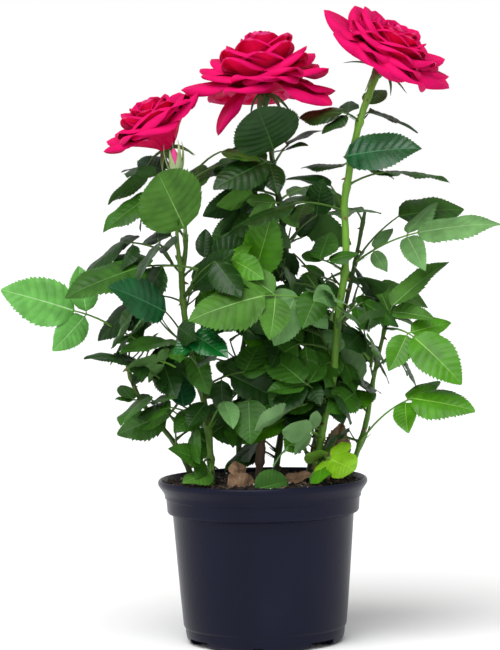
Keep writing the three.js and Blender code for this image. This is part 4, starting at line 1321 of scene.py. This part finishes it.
class ROSE_OT_soil(bpy.types.Operator):
    """Fill the pot with uneven soil, crumbs, bark bits and white grains."""

    bl_idname = "rose.soil"
    bl_label = "Soil"

    def execute(self, context):
        look = context.scene.rose_pot
        bed = model_soil_bed(look)
        colour = tuple(look.soil)
        damp = finish_of("damp_soil", shaded(colour, 0.5), shaded(colour, 1.9), 220, 0.75, 1.0, 600)
        bed.data.materials.append(damp)
        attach(bed, BODY)
        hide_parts("soil")
        rng = np.random.default_rng(look.seed)
        crumbs, bark, grains = scatter_soil(bed, rng)
        bark_finish = finish_of("bark_bits", (0.030, 0.017, 0.010), (0.110, 0.065, 0.038), 160, 0.7, 0.8)
        grain_finish = finish_of("white_grains", (0.45, 0.42, 0.38), (0.75, 0.73, 0.70), 300, 0.8, 0.5)
        for sheaf, name, finish in ((crumbs, "soil_crumbs", damp), (bark, "soil_bark", bark_finish),
                                    (grains, "soil_grains", grain_finish)):
            piece = sheaf.build(name, (finish,), 30)
            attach(piece, BODY)
        return {"FINISHED"}


class ROSE_OT_canes(bpy.types.Operator):
    """Sweep the canes with their bark's relief, and set their prickles."""

    bl_idname = "rose.canes"
    bl_label = "Canes"

    def execute(self, context):
        look = context.scene.rose_cane
        rng = np.random.default_rng(look.seed)
        prickles = Sheaf()
        for name in CANE_COLOURS:
            model_cane(name, look)
            add_prickles(prickles, name, rng)
        piece = prickles.build("prickles", (finish_of(
            "prickle_brown", (0.10, 0.13, 0.03), (0.24, 0.13, 0.06), 60, 0.4, 0.2),))
        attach(piece, BODY)
        return {"FINISHED"}


class ROSE_OT_foliage(bpy.types.Operator):
    """Grow every tuft's leaves, the far side's leaves and the shoots inside the crown."""

    bl_idname = "rose.foliage"
    bl_label = "Foliage"

    def execute(self, context):
        look = context.scene.rose_leaf
        foliage = {tint: Sheaf() for tint in TINTS}
        stood_for = {tint: [] for tint in TINTS}
        stalks = Sheaf()
        for order, (name, (cane, height, leaves)) in enumerate(TUFTS.items()):
            rng = np.random.default_rng((look.seed, order))
            foot, _, radius = cane_at(cane, height)
            stood_for[leaves[0].tint].append(f"leaves_{name}")
            for leaf in leaves:
                add_leaf(foliage, stalks, foot, radius, leaf, rng)
                base, along, _, length = leaflets_of(foot, leaf, Vector())[0]
                check_tip(f"leaves_{name}", base + along * length)
        for order, (cane, height) in enumerate(BACK_TUFTS):
            rng = np.random.default_rng((look.seed, 100 + order))
            foot, _, radius = cane_at(cane, height)
            leaf = back_leaf(order)
            stood_for[leaf.tint].append(f"leaves_back_{order + 1}")
            add_leaf(foliage, stalks, foot, radius, leaf, rng, fine=False)
        for order, (cane, height, leaf) in enumerate(INNER_LEAVES):
            rng = np.random.default_rng((look.seed, 300 + order))
            foot, _, radius = cane_at(cane, height)
            add_leaf(foliage, stalks, foot, radius, leaf, rng)
        inside = mass_test()
        for order, (cane, low, high, count, (first, last)) in enumerate(SHOOTS):
            rng = np.random.default_rng((look.seed, 200 + order))
            for shoot in range(count):
                foot, _, _ = cane_at(cane, low + (high - low) * (shoot + rng.uniform(0, 1)) / count)
                way = heading(first + (last - first) * ((shoot * BACK_TURN) % 1), rng.uniform(15, 50))
                grow_shoot(foliage, stalks, foot, way, rng.uniform(18, 34) * MM, 1, rng, inside)
        for tint, sheaf in foliage.items():
            if not sheaf.count:
                continue
            piece = sheaf.build(f"leaves_{tint}", leaf_finishes(tint))
            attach(piece, BODY)
            if stood_for[tint]:
                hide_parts(*stood_for[tint])
        light, dark = tuple(look.light_stalk), tuple(look.dark_stalk)
        piece = stalks.build("leaf_stalks", (
            finish_of("stalk_light", shaded(light, 0.8), shaded(light, 1.2), 60, 0.45, 0.3),
            finish_of("stalk_dark", shaded(dark, 0.8), shaded(dark, 1.3), 60, 0.45, 0.3)))
        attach(piece, BODY)
        return {"FINISHED"}


class ROSE_OT_blooms(bpy.types.Operator):
    """Unfold the three blooms and the bud, with their hips and sepals."""

    bl_idname = "rose.blooms"
    bl_label = "Blooms"

    def execute(self, context):
        look = context.scene.rose_petal
        calyx = Sheaf()
        for name, spec in BLOOMS.items():
            model_bloom(name, look)
            rng = np.random.default_rng(look.seed + 60 + spec["seed"])
            add_calyx(calyx, spec["foot"], spec["axis"], 1.0, spec["sepals"], (20, 90), rng)
        rng = model_bud(look)
        add_calyx(calyx, BUD["foot"], BUD["axis"], 0.92, 26, (-40, -20), rng, 4.0, -18, 2)
        piece = calyx.build("hips_and_sepals", (
            finish_of("sepal_outside", (0.030, 0.085, 0.018), (0.075, 0.160, 0.030), 90, 0.5, 0.3),
            finish_of("sepal_inside", (0.110, 0.220, 0.080), (0.190, 0.320, 0.130), 90, 0.6, 0.3),
            finish_of("bud_sepal", (0.180, 0.300, 0.090), (0.400, 0.520, 0.260), 120, 0.55, 0.3)), 60)
        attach(piece, BODY)
        return {"FINISHED"}


class ROSE_OT_litter(bpy.types.Operator):
    """Lay the dry leaves on the soil and set the dead stub."""

    bl_idname = "rose.litter"
    bl_label = "Stub and dry leaves"

    def execute(self, context):
        noise.seed_set(LITTER_SEED)
        rng = np.random.default_rng(LITTER_SEED)
        dry, fallen = Sheaf(), Sheaf()
        withered = dict(curl=0.25, thickness=0.5 * MM, crumple=3.0 * MM)
        for sheaf, rows, habit in ((dry, DRY_LEAVES, withered), (fallen, FALLEN_LEAVES, {})):
            for base, bearing, rise, length, roll, breadth, fold in rows:
                along = heading(bearing, rise)
                leaflet(sheaf, Vector(base) * MM, along, face_normal(along, roll), length * MM, breadth,
                        rng, fold=fold, **habit)
        piece = fallen.build("fallen_leaf", leaf_finishes("middle"))
        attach(piece, BODY)
        piece = dry.build("dry_leaves", (
            finish_of("dry_leaf", (0.160, 0.088, 0.046), (0.390, 0.250, 0.155), 110, 0.75, 0.8, 500),
            finish_of("dry_leaf_under", (0.170, 0.110, 0.070), (0.330, 0.240, 0.160), 110, 0.8, 0.8, 500),
            finish_of("dry_leaf_rib", (0.100, 0.055, 0.030), (0.160, 0.095, 0.060), 110, 0.7)))
        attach(piece, BODY)
        stub = Sheaf()
        low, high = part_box("dead_stub")
        middle = (low + high) / 2
        lean = high.x - low.x - 2 * STUB_RADIUS
        foot = low.z + 2 * MM
        path = [(low.x + STUB_RADIUS + lean * share ** 2, middle.y, foot + (high.z - foot) * share)
                for share in np.linspace(0, 1, STUB_RINGS)]
        radii = STUB_RADIUS * (1 + 0.16 * rng.standard_normal(STUB_RINGS))
        tube(stub, path, radii, 10, 0, 0.05)
        piece = stub.build("dry_stub", (finish_of(
            "dry_wood", (0.045, 0.028, 0.018), (0.130, 0.085, 0.055), 120, 0.8, 1.0, 400,
            stretch=(1, 1, 0.25)),))
        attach(piece, BODY)
        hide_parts("dead_stub")
        return {"FINISHED"}


LITTER_SEED = 31
STUB_RADIUS = 3.1 * MM
STUB_RINGS = 16
# Dry leaves: foot, bearing, rise, length, roll, width over length and fold.
DRY_LEAVES = (
    ((-26, -38, 115), 20, 8, 25, 80, 0.85, 30),
    ((-18, -32, 115), 75, 62, 21, 60, 0.9, 30),
    ((14, -14, 116), -8, 14, 26, 40, 0.4, 34),
    ((51, 6, 114), 62, 80, 43, 20, 0.56, 22),
    ((46, 3, 113), 120, 70, 31, -10, 0.5, 26),
)
# Fallen green leaves, in the same terms.
FALLEN_LEAVES = (
    ((-6, -47, 114), 4, 12, 24, 76, 0.95, 14),
)


def studio_sky(strength):
    """A white surround that falls to a dimmer ceiling."""
    world = bpy.data.worlds.new("studio_sky")
    world.use_nodes = True
    tree = world.node_tree
    place = tree.nodes.new("ShaderNodeTexCoord")
    height = tree.nodes.new("ShaderNodeSeparateXYZ")
    ramp = tree.nodes.new("ShaderNodeMapRange")
    ramp.inputs["From Min"].default_value = 0.12
    ramp.inputs["From Max"].default_value = 0.45
    ramp.inputs["To Min"].default_value = 1.0
    ramp.inputs["To Max"].default_value = strength
    tree.links.new(place.outputs["Generated"], height.inputs["Vector"])
    tree.links.new(height.outputs["Z"], ramp.inputs["Value"])
    sky = tree.nodes["Background"]
    sky.inputs["Color"].default_value = (1, 1, 1, 1)
    tree.links.new(ramp.outputs["Result"], sky.inputs["Strength"])
    return world


LIGHT_WAY = (0.26, 0.62, -1.0)
LIGHT_SPREAD = math.radians(50)
CAMERA_PLACE = (-0.0072, -2.0, 0.335)
CAMERA_AIM = (-0.0072, 0, 0.2268)
CAMERA_ROLL = math.radians(-1.0)


class ROSE_OT_stage(bpy.types.Operator):
    """Lay the pale floor, hang the soft light and set the camera."""

    bl_idname = "rose.stage"
    bl_label = "Stage"

    def execute(self, context):
        look = context.scene.rose_stage
        bpy.ops.object.select_all(action="DESELECT")
        bpy.ops.mesh.primitive_plane_add(size=60, location=(0, 0, -0.0004))
        floor = context.view_layer.objects.active
        floor.name = "pale_floor"
        bpy.ops.object.transform_apply(location=True, rotation=True, scale=True)
        colour = tuple(look.floor)
        paper = finish_of("pale_paper", shaded(colour, 0.99), shaded(colour, 1.0), 3, 0.9)
        floor.data.materials.append(paper)
        context.scene.world = studio_sky(look.sky)
        light = bpy.data.lights.new("softbox", "SUN")
        light.energy = look.light
        light.angle = LIGHT_SPREAD
        lamp = bpy.data.objects.new("softbox", light)
        lamp.rotation_euler = Vector(LIGHT_WAY).to_track_quat("-Z", "Y").to_euler()
        context.scene.collection.objects.link(lamp)
        camera_data = bpy.data.cameras.new("camera")
        camera_data.lens = look.lens
        camera_data.sensor_width = 36
        camera = bpy.data.objects.new("camera", camera_data)
        camera.location = CAMERA_PLACE
        aim = Vector(CAMERA_AIM) - camera.location
        camera.rotation_mode = "QUATERNION"
        camera.rotation_quaternion = aim.to_track_quat("-Z", "Y") @ Quaternion((0, 0, 1), CAMERA_ROLL)
        context.scene.collection.objects.link(camera)
        context.scene.camera = camera
        context.scene.view_settings.view_transform = "Standard"
        return {"FINISHED"}


class ROSE_PT_panel(bpy.types.Panel):
    """Steps that build the pot rose, in order."""

    bl_idname = "ROSE_PT_panel"
    bl_label = "Pot rose"
    bl_space_type = "VIEW_3D"
    bl_region_type = "UI"
    bl_category = "Pot rose"

    def draw(self, context):
        scene = context.scene
        for name in SETTINGS:
            settings = getattr(scene, name)
            box = self.layout.box()
            for prop in settings.__annotations__:
                box.prop(settings, prop)
        for step in STEPS:
            self.layout.operator(step.bl_idname)


SETTINGS = {
    "rose_pot": RosePotSettings,
    "rose_cane": RoseCaneSettings,
    "rose_leaf": RoseLeafSettings,
    "rose_petal": RosePetalSettings,
    "rose_stage": RoseStageSettings,
}
STEPS = (ROSE_OT_pot, ROSE_OT_soil, ROSE_OT_canes, ROSE_OT_foliage, ROSE_OT_blooms, ROSE_OT_litter,
         ROSE_OT_stage)


def register():
    """Registers the settings, the steps and the panel."""
    for name, settings in SETTINGS.items():
        bpy.utils.register_class(settings)
        setattr(bpy.types.Scene, name, bpy.props.PointerProperty(type=settings))
    for step in STEPS:
        bpy.utils.register_class(step)
    bpy.utils.register_class(ROSE_PT_panel)


def unregister():
    """Removes the panel, the steps and the settings."""
    bpy.utils.unregister_class(ROSE_PT_panel)
    for step in reversed(STEPS):
        bpy.utils.unregister_class(step)
    for name, settings in SETTINGS.items():
        delattr(bpy.types.Scene, name)
        bpy.utils.unregister_class(settings)


def main():
    """Builds every piece in order."""
    register()
    for step in (bpy.ops.rose.pot, bpy.ops.rose.soil, bpy.ops.rose.canes, bpy.ops.rose.foliage,
                 bpy.ops.rose.blooms, bpy.ops.rose.litter, bpy.ops.rose.stage):
        step()


if __name__ == "__main__":
    main()
